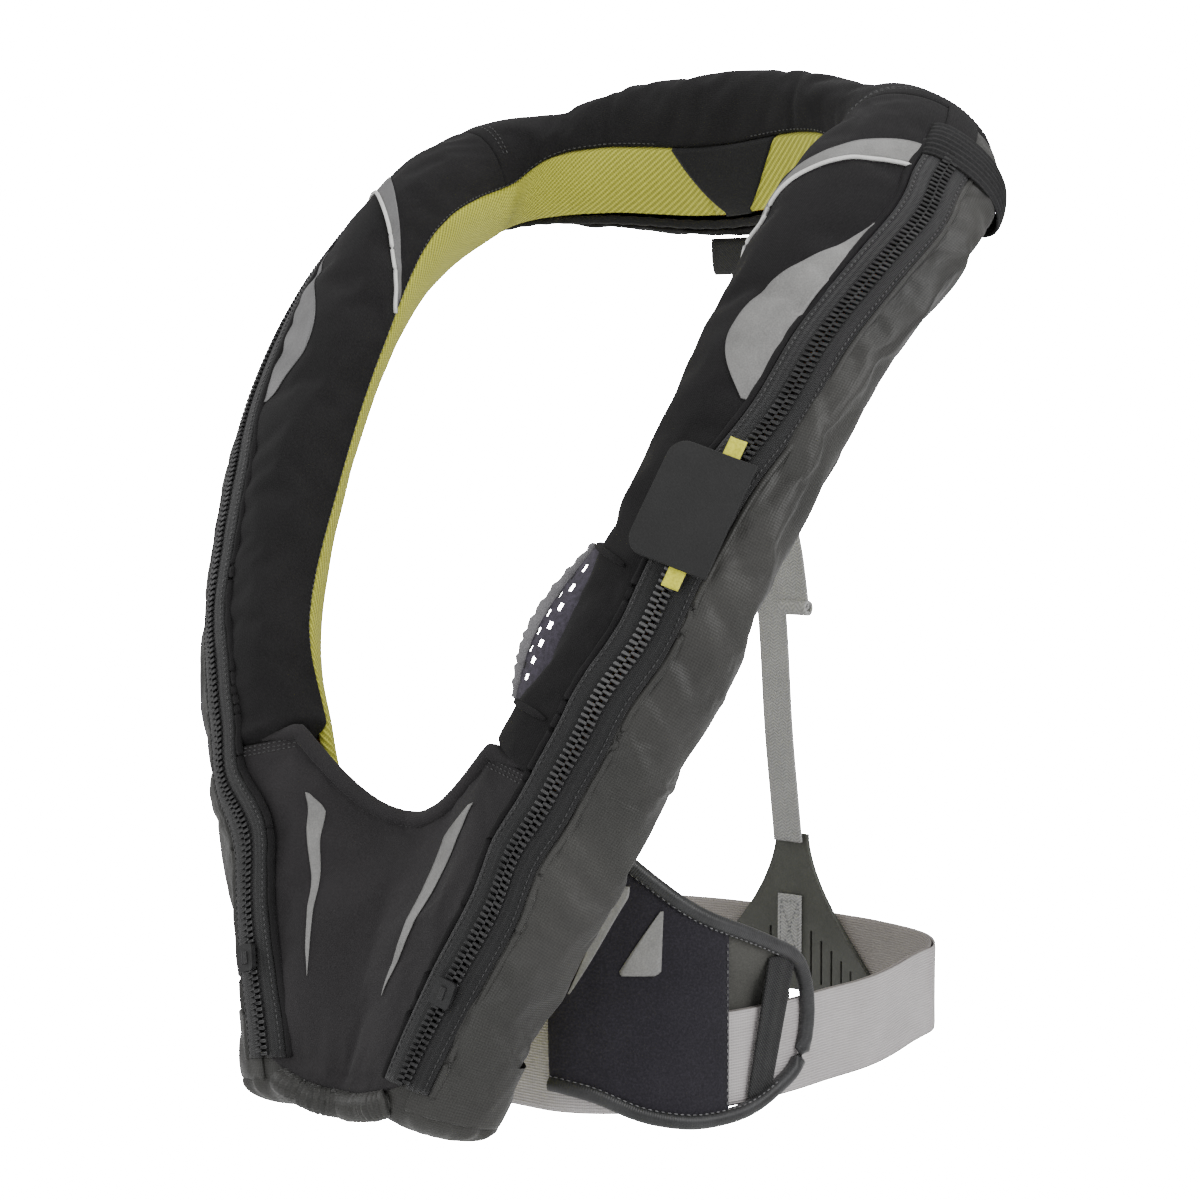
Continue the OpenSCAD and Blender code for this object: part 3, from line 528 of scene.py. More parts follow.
def cover(name, u0, u1, a0, a1, nu, na, side, seams, held_zip, height, slack, seed, cap=0.003):
    """One padded cover: cut, laid over the lobe with its folds, held at its seams
    and let settle."""
    def lift(u, angle):
        dip = near_seam(u, seams, 0.012)
        border = min(1.0, (angle - a0(u)) / 14, (a1(u) - angle) / 14)
        # Below the bib's seam the cloth lies a little lower, behind the bib
        behind = min(1.0, max(0.0, (abs(u) - bib_top) / 0.008))
        return soft_folds(u * side, angle, seed, height) * max(0.0, border) * (1 - dip) \
            - seam_depth * dip ** 2 - bib_clearance * behind
    rows = lobe_rows(u0, u1, a0, a1, lift, nu, na)
    piece = sewn_sheet(name, rows, right=side < 0)
    held = {}
    for i in range(nu + 1):
        u = mix(u0, u1, i / nu)
        for j in range(na + 1):
            angle = mix(a0(u), a1(u), j / na)
            index = i * (na + 1) + (na - j if side < 0 else j)
            grip = near_seam(u, seams, 0.006)
            under_tape = held_zip and abs(angle - zip_angle(u)) < turn_of(chain_half + tape_wide + 0.001, u)
            if j in (0, na) or i in (0, nu) or under_tape:
                grip = 1.0
            if grip > 0:
                held[index] = grip
    settled(piece, held, slack, pressure=1.2, cap=cap)
    finish_modifier(piece, "SOLIDIFY", thickness=cover_wall, offset=-1.0)
    finish_modifier(piece, "SUBSURF", levels=1, render_levels=1)
    piece.data.shade_smooth()
    return piece


def zip_plus(u):
    """Where the cover on the neck side ends at the zip."""
    return zip_angle(u) + turn_of(chain_half + 0.0006, u)


def zip_minus(u):
    """Where the cover on the outer side ends at the zip."""
    return zip_angle(u) - turn_of(chain_half + 0.0006, u)


stretch_black = knitted("stretch_black", (0.0068, 0.0064, 0.007), (0.0175, 0.0166, 0.0175), 0.04)
gap = 0.0005
collar_seams = (0.105,)
rear_collar = cover("rear_collar_stretch", -shoulder - 0.003, shoulder + 0.003,
                    lambda u: collar_start, lining_angle, 96, 40, side=1, seams=collar_seams,
                    held_zip=False, height=0.0013, slack=0.014, seed=3.1)
left_stretch = cover("left_stretch_cloth", shoulder + gap, lobe_foot - 0.01, zip_plus, lining_angle,
                     132, 30, side=1, seams=(0.0,), held_zip=True, height=0.0010, slack=0.014, seed=5.3)
right_stretch = cover("right_stretch_cloth", shoulder + gap, lobe_foot - 0.01, zip_plus, lining_angle,
                      132, 30, side=-1, seams=(0.0,), held_zip=True, height=0.0012, slack=0.014, seed=8.9)
stretch_black.on(rear_collar, left_stretch, right_stretch)
put(rear_collar, "jacket", "rear_collar_cover", slot="stretch_cloth", fill=0.6)
put(left_stretch, "jacket", "left_stretch_cover", slot="stretch_cloth", fill=0.6)
put(right_stretch, "jacket", "right_stretch_cover", slot="stretch_cloth", fill=0.6)
surface = {1: left_stretch, -1: right_stretch}
trees = {side: BVHTree.FromObject(surface[side], bpy.context.evaluated_depsgraph_get())
         for side in surface}


def laid(tree, point, out, lift):
    """A point dropped on the settled cloth from outside and raised by lift."""
    hit, normal, _, _ = tree.ray_cast(point + out * 0.012, -out, 0.03)
    if hit is None:
        hit, normal, _, _ = tree.find_nearest(point)
        out = normal
    return hit + out * lift


def outward(u, angle):
    """The way out of a lobe's surface."""
    return (lobe(u, angle, 0.01) - lobe(u, angle, 0.0)).normalized()


# Shoulder seams: the rear collar is top-stitched to each lobe's covers, two rows
# of thread a few millimetres apart on both sides of the join.
black_thread = Finish("black_thread", Roughness=0.5, Sheen_Weight=0.2)
black_thread.set(Base_Color=black_thread.shades(black_thread.grain(0.002),
                                                (0.3, (0.02, 0.02, 0.021)), (0.7, (0.055, 0.055, 0.056))))
collar_tree = BVHTree.FromObject(rear_collar, bpy.context.evaluated_depsgraph_get())
seam_rows = []
for side in (1, -1):
    for station in (shoulder - 0.006, shoulder - 0.010):
        seam_rows.append([laid(collar_tree, lobe(side * station, a), outward(side * station, a), 0.0001)
                          for a in range(-10, 200, 5)])
shoulder_stitches = stitched("shoulder_stitches", seam_rows)
black_thread.on(shoulder_stitches)
put(shoulder_stitches, "jacket")


# Nylon covers: tightly woven, slightly shiny nylon from the zip round the outside
# of each lobe to the lining behind. It has no stretch, so it creases across the
# lobe where it is sewn short. The same cloth closes the foot of the lobe.
nylon = Finish("woven_nylon", Specular_IOR_Level=0.42, Sheen_Weight=0.16, Sheen_Roughness=0.35)
over, down = nylon.cloth()
weave = ((over * (2 * pi / 0.0013)).wave() + (down * (2 * pi / 0.0013)).wave()) * 0.5
creases = nylon.grain(0.02, 4.0, roughness=0.6)
patches = nylon.grain(0.06, 2.0)
nylon.set(Base_Color=nylon.shades(patches * 0.6 + weave * 0.25 + creases * 0.15,
                                  (0.3, (0.022, 0.022, 0.0205)), (0.75, (0.054, 0.053, 0.049))),
          Roughness=patches * 0.14 + 0.42,
          Normal=nylon.raised(weave, 0.0002, 0.6, nylon.raised(creases, 0.0016, 0.55)))


def short_folds(u, angle, seed):
    """Sharp creases that run across the lobe from the zip."""
    a = noise.noise(Vector((u * 15 + angle / 200 + seed, angle / 110, seed)))
    b = noise.noise(Vector((u * 38 + angle / 60, seed * 2, angle / 70)))
    return 0.0026 * (0.42 - abs(a) * 2.0) * (0.3 + 0.7 * abs(noise.noise(Vector((u * 6, seed, 0))))) \
        + 0.0007 * b


def nylon_cover(name, side, seed):
    """One nylon cover, cut short along the zip so that it creases as it settles."""
    def lift(u, angle):
        top = min(1.0, (zip_minus(u) - angle) / 22, (angle - nylon_start) / 12)
        ends = min(1.0, (u - shoulder) / 0.02, (lobe_foot - u) / 0.012)
        return short_folds(u, angle, seed) * max(0.0, top) * max(0.0, ends)
    nu, na = 150, 32
    rows = lobe_rows(shoulder + gap, lobe_foot, lambda u: nylon_start, zip_minus, lift, nu, na)
    piece = sewn_sheet(name, rows, right=side < 0)
    held = {}
    for i in range(nu + 1):
        u = mix(shoulder + gap, lobe_foot, i / nu)
        for j in range(na + 1):
            angle = mix(nylon_start, zip_minus(u), j / na)
            tape = abs(angle - zip_angle(u)) < turn_of(chain_half + tape_wide + 0.001, u)
            if j in (0, na) or i in (0, nu) or tape:
                held[i * (na + 1) + (na - j if side < 0 else j)] = 1.0
    settled(piece, held, 0.035, 1.0, 0.005, stiffness=14.0, bending=0.6)
    finish_modifier(piece, "SOLIDIFY", thickness=cover_wall, offset=-1.0)
    finish_modifier(piece, "SUBSURF", levels=1, render_levels=1)
    piece.data.shade_smooth()
    nylon.on(piece)
    return put(piece, "jacket", ("left" if side > 0 else "right") + "_nylon_cover",
               slot="woven_nylon", fill=0.6)


nylon_cover("left_nylon_cloth", 1, 2.7)
nylon_cover("right_nylon_cloth", -1, 11.3)


def lobe_foot_cap(name, side):
    """Gathered end of the lobe: a soft cuff that turns in to a puckered middle."""
    middle, over, out, half, thick = lobe_frame(lobe_foot)
    way = over.cross(out).normalized()
    if way.z > 0:
        way = -way
    cuff_rings, cap_rings, around, bulge, tuck = 10, 14, 72, 0.011, 0.0012
    rows = []
    for ring in range(cuff_rings + cap_rings + 1):
        rows.append([])
        for k in range(around):
            a = 2 * pi * k / around
            pleat = 0.0007 * sin(13 * a + 1.3) + 0.0006 * noise.noise(Vector((3 * cos(a), 3 * sin(a), side)))
            if ring < cuff_rings:
                t = ring / cuff_rings
                p = lobe(mix(0.95, lobe_foot, t), degrees(a), -tuck + pleat * t * 0.6)
            else:
                t = (ring - cuff_rings) / cap_rings
                share, drop = cos(t * pi / 2), bulge * sin(t * pi / 2)
                p = middle + over * ((half - tuck + pleat * 1.6) * share * cos(a)) \
                    + out * ((thick - tuck + pleat * 1.6) * share * sin(a)) + way * drop
            rows[-1].append(on_side(p, side))
    piece = in_edit(sewn_sheet(name, rows, hoop=True),
                    (bpy.ops.mesh.remove_doubles, {"threshold": 0.00005}), face_outward)
    nylon.on(piece)
    return put(piece, "jacket", slot="woven_nylon")


lobe_foot_cap("left_foot_gather", 1)
lobe_foot_cap("right_foot_gather", -1)


# Neck lining: bright yellow ribbed knit against the wearer's neck, its ribs cut
# on the slant. It is sewn along the inside edge of each stretch cover and is
# black behind the neck, where a plain patch takes the wear.
ribbed = Finish("yellow_ribbed_knit", Sheen_Weight=0.1, Sheen_Roughness=0.5)
over, down = ribbed.cloth()
slant = over * 0.8 + down * 0.6
ribs = (slant * (2 * pi / 0.0026)).wave() ** 1.5
knit_rows = ((over * -0.6 + down * 0.8) * (2 * pi / 0.0014)).wave()
cloudy = ribbed.grain(0.04, 2.0)
ribbed.set(Base_Color=ribbed.shades(ribs * 0.62 + knit_rows * 0.2 + cloudy * 0.2,
                                    (0.15, (0.33, 0.33, 0.02)), (0.6, (0.60, 0.60, 0.055)),
                                    (0.95, (0.76, 0.76, 0.14))),
           Roughness=ribs * 0.1 + 0.68,
           Normal=ribbed.raised(ribs * 0.8 + knit_rows * 0.2, 0.0005, 0.9))


def lining_start(u):
    """Where the lining meets the stretch cover's edge."""
    return lining_angle(u) + turn_of(0.0006, abs(u)) + 1


lining_lap = 6          # degrees that the lining runs in under the stretch cover


def lining(name, side):
    """One half of the lining, with both long edges tucked in under the covers."""
    def lift(u, angle):
        return 0.0005 * noise.noise(Vector((u * 30, angle / 30, side))) \
            - 0.0055 * max(0.0, 1 - (angle - lining_start(u) + lining_lap) / lining_lap) ** 0.7 \
            - 0.0035 * max(0.0, (angle - lining_end + 3) / 5)
    rows = lobe_rows(0.0, lobe_foot - 0.006, lambda u: lining_start(u) - lining_lap,
                     lambda u: lining_end + 2, lift, 120, 40)
    piece = sewn_sheet(name, rows, wall=0.002, right=side < 0)
    ribbed.on(piece)
    return put(piece, "jacket", ("left" if side > 0 else "right") + "_neck_lining",
               slot="yellow_mesh", fill=0.3)


lining("left_neck_knit", 1)
lining("right_neck_knit", -1)
plain_black = knitted("plain_black_knit", (0.008, 0.008, 0.0085), (0.021, 0.021, 0.022), 0.15)
patch_rows = []
for i in range(25):
    patch_rows.append([])
    for j in range(31):
        # Wide under the collar's fold, narrow at its foot
        u = 0.022 + (i / 12 - 1) * mix(0.06, 0.012, min(1, j / 26))
        angle = mix(lining_start(u) - lining_lap, lining_end + 2, j / 30)
        patch_rows[-1].append(lobe(u, angle, 0.0009 - 0.0062 * max(0.0, 1 - j / 3) ** 0.7
                                   - 0.004 * max(0, (j - 28) / 2)))
neck_patch = sewn_sheet("neck_patch_knit", patch_rows, wall=0.002)
plain_black.on(neck_patch)
put(neck_patch, "jacket", "collar_patch", slot="stretch_cloth", fill=0.3)
piping_angle = (lining_end + 360 + collar_start) / 2
piping = rolled("collar_foot_piping", [lobe(mix(-0.225, 0.225, i / 90), piping_angle, -0.001
                                            + 0.0003 * sin(i * 1.9)) for i in range(91)], 0.0024)
plain_black.on(piping)
put(piping, "jacket", "collar_piping", slot="binding_tape")
edge_rows = [[lobe(side * mix(0.05, 0.7, i / 160), lining_angle(mix(0.05, 0.7, i / 160)) - 2.5, 0.0002)
              for i in range(161)] for side in (1, -1)]
lining_stitches = stitched("lining_stitches", edge_rows, radius=0.0003)
black_thread.on(lining_stitches)
put(lining_stitches, "jacket")


# Burst zips: coarse moulded zips that part when the chamber inflates. Each is a
# pair of woven tapes with a row of separate moulded teeth on each, the two rows
# meshed. The tapes are sewn down with a row of stitches at their outer edge.
tape_cloth = Finish("zip_tape_weave", Sheen_Weight=0.2, Specular_IOR_Level=0.35)
over, down = tape_cloth.cloth()
herring = ((down + (over * (2 * pi / 0.0028)).wave() * 0.0007) * (2 * pi / 0.0009)).wave()
worn = tape_cloth.grain(0.03, 3.0)
tape_cloth.set(Base_Color=tape_cloth.shades(worn * 0.5 + herring * 0.5, (0.25, (0.006, 0.006, 0.0065)),
                                            (0.8, (0.019, 0.019, 0.020))),
               Roughness=worn * 0.15 + 0.6, Normal=tape_cloth.raised(herring, 0.0003, 0.8))
zip_plastic = Finish("moulded_zip_teeth", Specular_IOR_Level=0.6, Coat_Roughness=0.2)
rubbed = zip_plastic.grain(0.004, 2.0)
zip_plastic.set(Base_Color=zip_plastic.shades(rubbed, (0.3, (0.008, 0.008, 0.0085)),
                                              (0.75, (0.03, 0.03, 0.031))),
                Roughness=rubbed * 0.18 + 0.24, Coat_Weight=rubbed * 0.3,
                Normal=zip_plastic.raised(rubbed, 0.0001, 0.4))


def zip_wave(u, side=1):
    """Small sideways waves of a zip sewn to stretch cloth, and the right one's bow."""
    swing = 0.0012 * sin(u * 47) + 0.0005 * sin(u * 83 + 1)
    if side < 0:
        swing += 0.0085 * exp_bump(u, 0.868, 0.036) - 0.004 * exp_bump(u, 0.79, 0.03)
    return swing * min(1, (u - zip_top) / 0.03, (zip_foot - u) / 0.03)


def exp_bump(t, middle, wide):
    """A smooth rise to 1 at the middle, wide on each side."""
    return 2.718 ** (-((t - middle) / wide) ** 2)


def zip_point(u, shift, lift, side=1):
    """A point on the left zip, a shift to the neck side of its middle. The right
    zip's bow is given by side, before the point is turned over."""
    return lobe(u, zip_angle(u) + turn_of(1.0, u) * (shift + zip_wave(u, side)), lift)


def zip_tape(name, side, edge):
    """One tape, on the neck side of the teeth where edge is 1, with a thick selvage."""
    rows = []
    for i in range(181):
        u = mix(zip_top, zip_foot, i / 180)
        rows.append([])
        for j in range(9):
            t = j / 8
            shift = edge * mix(0.0017, chain_half + tape_wide, t)
            crown = 0.0014 + 0.0005 * sin(pi * min(1, t * 1.15)) - 0.0006 * max(0, t - 0.86) / 0.14
            crown -= 0.0004 * exp_bump(t, 0.8, 0.04)
            ripple = 0.0003 * noise.noise(Vector((u * 60, j, edge)))
            rows[-1].append(zip_point(u, shift, crown + ripple, side))
    if edge < 0:
        rows = [list(reversed(row)) for row in rows]
    piece = sewn_sheet(name, rows, right=side < 0)
    finish_modifier(piece, "SOLIDIFY", thickness=0.0009, offset=-1.0)
    tape_cloth.on(piece)
    return piece


def zip_tooth():
    """One moulded tooth: a block clamped over the tape's bead with a narrow neck and
    a rounded head."""
    bpy.ops.mesh.primitive_cube_add(size=1.0)
    tooth = bpy.context.active_object
    tooth.name = "zip_tooth"
    for v in tooth.data.vertices:
        v.co = (v.co.x * 0.0044 - 0.0007, v.co.y * 0.00155, v.co.z * 0.0023)
    in_edit(tooth, (bpy.ops.mesh.bevel, {"offset": 0.00032, "segments": 1, "affect": "EDGES"}))
    for v in tooth.data.vertices:
        if v.co.x < -0.0015:
            v.co.z *= 0.86
            v.co.y *= 1.15
        elif v.co.x < 0.0006:
            v.co.y *= 0.8
    return tooth


tooth = zip_tooth()
tooth_points = [v.co.copy() for v in tooth.data.vertices]
tooth_faces = [tuple(f.vertices) for f in tooth.data.polygons]
bpy.data.objects.remove(tooth, do_unlink=True)


tooth_pitch, tooth_lift = 0.00152, 0.00235


def zip_chain(name, side):
    """Both rows of teeth of one zip, set by turns from either side of its middle."""
    points, faces = [], []
    runs, marks = [0.0], [mix(zip_top - 0.004, zip_foot, i / 600) for i in range(601)]
    middles = [zip_point(u, 0.0, 0.0022, side) for u in marks]
    for a, b in zip(middles, middles[1:]):
        runs.append(runs[-1] + (b - a).length)
    k = 0
    for n in range(int(runs[-1] / tooth_pitch)):
        while runs[k + 1] < n * tooth_pitch:
            k += 1
        u = mix(marks[k], marks[k + 1], (n * tooth_pitch - runs[k]) / (runs[k + 1] - runs[k]))
        way, step = 1 if n % 2 else -1, 0.003
        origin = zip_point(u, way * 0.0011, tooth_lift, side)
        across = zip_point(u, step, tooth_lift, side) - zip_point(u, -step, tooth_lift, side)
        across.normalize()
        down_it = zip_point(min(u + step, 1), 0, 0.0023, side) - zip_point(u - step, 0, 0.0023, side)
        down_it.normalize()
        up = across.cross(down_it).normalized()
        if up.dot(origin - lobe_frame(round(u, 5))[0]) < 0:
            up = -up
        base = len(points)
        for q in tooth_points:
            p = origin - across * (way * q.x) + down_it * q.y + up * q.z
            points.append(on_side(p, side))
        turned = (way > 0) ^ (side < 0)
        faces += [tuple(base + i for i in (reversed(f) if turned else f)) for f in tooth_faces]
    piece = in_edit(new_piece(name, points, faces, smooth=False), face_outward)
    zip_plastic.on(piece)
    return piece


def beside_zip(side, edge, offset, start, steps, lift):
    """A line beside a zip's tape, at an offset outside its edge."""
    return [on_side(zip_point(mix(start, zip_foot, i / steps), edge * (chain_half + tape_wide + offset),
                              lift(i), side), side) for i in range(steps + 1)]


both_sides = ((1, "left"), (-1, "right"))
for side, word in both_sides:
    tapes = [zip_tape(word + "_zip_tape_" + place, side, edge)
             for place, edge in (("neck", 1), ("outer", -1))]
    put(tapes[0], "jacket", word + "_zip_tape", slot="zip_tape")
    put(tapes[1], "jacket", slot="zip_tape")
    put(zip_chain(word + "_zip_teeth", side), "jacket", word + "_zip_chain", slot="black_plastic")
    rows = [beside_zip(side, edge, -0.0022, zip_top + 0.002, 300, lambda i: 0.0019) for edge in (1, -1)]
    zip_thread = stitched(word + "_zip_stitches", rows)
    black_thread.on(zip_thread)
    put(zip_thread, "jacket")
    # The covers' edges are turned under and rolled where the tape is sewn on
    for place, edge, cloth in (("neck", 1, stretch_black), ("outer", -1, nylon)):
        path = beside_zip(side, edge, 0.0022, zip_top - 0.01, 220, lambda i: 0.0002 * sin(i * 0.9) - 0.0002)
        fold = rolled(word + "_zip_fold_" + place, path, 0.0019, flat=0.9)
        cloth.on(fold)
        put(fold, "jacket")


# Above the zip's end the two covers are joined by a plain strip of the stretch cloth.
for side, word in both_sides:
    rows = [[lobe(u, zip_angle(u) + turn_of(x, u), 0.0006 - 0.0010 * abs(x / 0.009) ** 3)
             for x in (-0.009 + 0.0015 * j for j in range(13))]
            for u in (mix(shoulder - 0.004, zip_top + 0.002, i / 24) for i in range(25))]
    strip = sewn_sheet(word + "_zip_top_strip", [list(reversed(row)) for row in rows], wall=0.001,
                       right=side < 0)
    stretch_black.on(strip)
    put(strip, "jacket", slot="stretch_cloth")


# Zip garages: a band of ribbed stretch cloth folded over the top end of each zip,
# so that the teeth can't start to part there.
garage_knit = knitted("ribbed_garage", (0.012, 0.012, 0.0125), (0.04, 0.04, 0.041))
for side, word in both_sides:
    rows = []
    for i in range(49):
        u = mix(zip_top - 0.03, zip_top + 0.004, i / 48)
        reach = turn_of(chain_half + tape_wide + 0.002, u)
        rows.append([lobe(u, mix(-14, zip_angle(u) + reach, j / 60),
                          0.0034 + 0.00045 * sin(i * pi / 3.4) + 0.0005 * sin(pi * i / 48)
                          - 0.0028 * max(0, (j - 50) / 10) ** 4 - 0.004 * max(0, (10 - j) / 10) ** 2)
                     for j in range(61)])
    garage = sewn_sheet(word + "_garage_band", rows, wall=0.0012, right=side < 0)
    garage_knit.on(garage)
    put(garage, "jacket", word + "_zip_garage", slot="stretch_cloth")


# Burst flap: a stiffened flap of smooth coated cloth with a pressed rim, hinged on
# its outer edge, that shows whether the zip's burst point is closed. Bright tabs
# mark the two ends of that point on the zip.
flap_station, flap_shift, flap_long, flap_wide, flap_corner = 0.568, 0.007, 0.058, 0.042, 0.009


def on_zip(u, lift):
    """Place on the left lobe's zip: middle, towards the wearer's left, up, out."""
    step = 0.01
    o = lobe(u, zip_angle(u), lift)
    y = (lobe(u - step, zip_angle(u), lift) - lobe(u + step, zip_angle(u), lift)).normalized()
    s = lobe(u, zip_angle(u) - 4, lift) - lobe(u, zip_angle(u) + 4, lift)
    x = (s - y * s.dot(y)).normalized()
    return o, x, y, x.cross(y)


flap_cloth = Finish("coated_flap_cloth", Specular_IOR_Level=0.35, Sheen_Weight=0.06)
fine = flap_cloth.grain(0.0008, 2.0)
broad = flap_cloth.grain(0.02, 2.0)
flap_cloth.set(Base_Color=flap_cloth.shades(fine * 0.5 + broad * 0.5, (0.3, (0.013, 0.013, 0.0132)),
                                            (0.7, (0.022, 0.022, 0.0223))),
               Roughness=fine * 0.14 + 0.58, Normal=flap_cloth.raised(fine, 0.0001, 0.6))
o, x, y, z = on_zip(flap_station, 0.0026 + 0.0012)
rows = []
for i in range(37):
    t = i / 18 - 1
    rows.append([])
    for j in range(29):
        s = j / 14 - 1
        px, py = s * flap_wide / 2, t * flap_long / 2
        corner_x = -flap_wide / 2 + flap_corner
        corner_y = flap_long / 2 - flap_corner
        if px < corner_x and abs(py) > corner_y:
            # Draws the square corner in to a round one
            dx, dy = (corner_x - px) / flap_corner, (abs(py) - corner_y) / flap_corner
            reach = max(dx, dy) / max(1e-6, sqrt(dx * dx + dy * dy))
            px = corner_x - dx * flap_corner * reach
            py = (1 if py > 0 else -1) * (corner_y + dy * flap_corner * reach)
        rim = 0.0006 * exp_bump(max(abs(s), abs(t)), 0.93, 0.035)
        rows[-1].append(o + x * (px - flap_shift) + y * py + z * (0.0014 + 0.0005 * (1 - t * t) - rim / 2))
flap = sewn_sheet("burst_flap_cloth", list(reversed(rows)))
finish_modifier(flap, "SOLIDIFY", thickness=0.0016, offset=-1.0)
finish_modifier(flap, "BEVEL", width=0.0004, segments=2, limit_method="ANGLE", angle_limit=radians(50))
flap.data.shade_smooth()
flap_cloth.on(flap)
put(flap, "flap", "burst_flap", slot="flap_cloth", fill=0.2)

tab_weave = Finish("bright_tab_webbing", Sheen_Weight=0.2)
fine = tab_weave.grain(0.0012, 2.0)
tab_weave.set(Base_Color=tab_weave.shades(fine, (0.3, (0.62, 0.60, 0.02)), (0.7, (0.86, 0.84, 0.06))),
              Roughness=fine * 0.2 + 0.5, Normal=tab_weave.raised(fine, 0.0002, 0.8))
o, x, y, z = on_zip(flap_station, 0.0026)
tab_rows = []
for end in (-1, 1):
    block = [[o + x * mix(-0.0042, 0.0042, j / 8) + y * (end * (flap_long / 2 - 0.002 + 0.011 * i / 8))
              + z * (0.0016 + 0.0003 * cos(j * 0.8)) for j in range(9)] for i in range(9)]
    tab_rows.append(sewn_sheet("burst_tab_%s" % ("lower" if end < 0 else "upper"),
                               block if end < 0 else list(reversed(block)), wall=0.0009))
    tab_weave.on(tab_rows[-1])
put(tab_rows[0], "jacket", "burst_tabs", slot="yellow_webbing")
put(tab_rows[1], "jacket", slot="yellow_webbing")


# Slot in the left lobe: an opening on the neck side for reaching the mouth tube and
# the pull handle. Its standing edge is ruffled by elastic, open mesh closes the
# inside, and a folded cuff of stretch cloth finishes each end.
slot_from, slot_to, slot_rise, slot_angle = 0.605, 0.735, 0.009, 172
ruffle_cloth = knitted("grey_elastic_edge", (0.11, 0.107, 0.115), (0.26, 0.255, 0.265), 0.3)
rows = []
for i in range(161):
    t = i / 160
    u = mix(slot_from, slot_to, t)
    swell = sin(pi * t)
    rows.append([])
    for k in range(12):
        a = 2 * pi * k / 12
        ruffle = 0.0003 * sin(t * 2 * pi * 11 + 1.1 * sin(a) + 2 * sin(t * 9)) \
            + 0.00012 * sin(t * 2 * pi * 19 + a)
        middle = lobe(u, slot_angle, 0.003 + slot_rise * swell + ruffle)
        out = outward(u, slot_angle)
        way = (lobe(u + 0.002, slot_angle) - lobe(u - 0.002, slot_angle)).normalized()
        radius = 0.0024 * (0.75 + 0.3 * swell) + ruffle * 0.5
        rows[-1].append(middle + out * (radius * 1.25 * cos(a)) + way.cross(out) * (radius * sin(a)))
elastic_edge = sewn_sheet("slot_ruffled_edge", rows, hoop=True)
finish_modifier(elastic_edge, "SUBSURF", levels=1, render_levels=1)
ruffle_cloth.on(elastic_edge)
put(elastic_edge, "jacket", "slot_elastic", slot="grey_elastic")

mesh_thread = Finish("open_mesh_thread", Sheen_Weight=0.1)
fine = mesh_thread.grain(0.002)
mesh_thread.set(Base_Color=mesh_thread.shades(fine, (0.3, (0.018, 0.014, 0.024)),
                                              (0.7, (0.06, 0.05, 0.075))), Roughness=fine * 0.2 + 0.6)
points, faces = [], []
columns, lines = 72, 14
for i in range(columns + 1):
    t = i / columns
    u = mix(slot_from - 0.002, slot_to + 0.002, t)
    for j in range(lines + 1):
        v = j / lines
        swell = slot_rise * sin(pi * t) * 0.95
        points.append(lobe(u, mix(150, slot_angle, v), -0.0012 + (0.0012 + 0.0022 + swell) * v))
for i in range(columns):
    for j in range(lines):
        # The open places of the mesh, in two staggered rows
        hole = (j in (7, 8) and i % 8 in (1, 2, 3)) or (j in (11, 12) and i % 8 in (5, 6, 7))
        if not (hole and 0.12 < i / columns < 0.88):
            corner = i * (lines + 1) + j
            faces.append((corner, corner + 1, corner + lines + 2, corner + lines + 1))
open_mesh = new_piece("slot_open_mesh", points, faces, smooth=False)
finish_modifier(open_mesh, "SOLIDIFY", thickness=0.0006, offset=0.0)
mesh_thread.on(open_mesh)
put(open_mesh, "jacket", "slot_mesh", slot="open_mesh")

for place, station in (("upper", slot_from - 0.004), ("lower", slot_to + 0.004)):
    lean = 0.012 if place == "upper" else -0.008
    path = [lobe(station + lean * (1 - k / 30), mix(118, 196, k / 30),
                 0.0012 + 0.0005 * noise.noise(Vector((k / 4, station * 50, 0)))) for k in range(31)]
    radii = [0.0021 * min(1, 0.4 + k / 6, 0.4 + (30 - k) / 6) for k in range(31)]
    cuff = rolled("slot_cuff_" + place, path, radii, flat=0.8)
    stretch_black.on(cuff)
    put(cuff, "jacket")


# Reflective patches: thin printed film, grey with a fine beaded grain. On each
# shoulder a pointed leaf beside the zip and a curved band with a bright piping
# along its foot, pressed on to the stretch cloth.
def reflective(name, dark, light):
    """Film of fine glass beads in a soft grey print."""
    film = Finish(name, Specular_IOR_Level=0.55, Sheen_Weight=0.08, Sheen_Roughness=0.3)
    beads = film.node("ShaderNodeTexVoronoi", None, Vector=film.place(), Scale=1 / 0.0008)
    cloudy = film.grain(0.012, 2.0)
    film.set(Base_Color=film.shades(cloudy * 0.6 + beads * 0.5, (0.2, dark), (0.85, light)),
             Roughness=beads * 0.15 + 0.42, Normal=film.raised(beads, 0.00008, 0.6))
    return film


film_grey = reflective("reflective_film_grey", (0.16, 0.158, 0.155), (0.29, 0.287, 0.28))
# The far shoulder's film is a darker copy of the same film: painted shade for the lobe turned away from the
# light.
shaded_far_film = reflective("reflective_film_far_shaded", (0.115, 0.113, 0.115), (0.2, 0.198, 0.2))
film_bright = reflective("reflective_piping", (0.66, 0.66, 0.64), (0.9, 0.9, 0.88))


def pressed_on(name, rows, side, lift, wall=0.0005):
    """A patch pressed on to the settled stretch cloth."""
    laid_rows = [[laid(trees[side], on_side(lobe(u, angle), side), on_side(outward(u, angle), side), lift)
                  for u, angle in row] for row in rows]
    if side < 0:
        laid_rows = [list(reversed(row)) for row in laid_rows]
    return sewn_sheet(name, laid_rows, wall=wall)


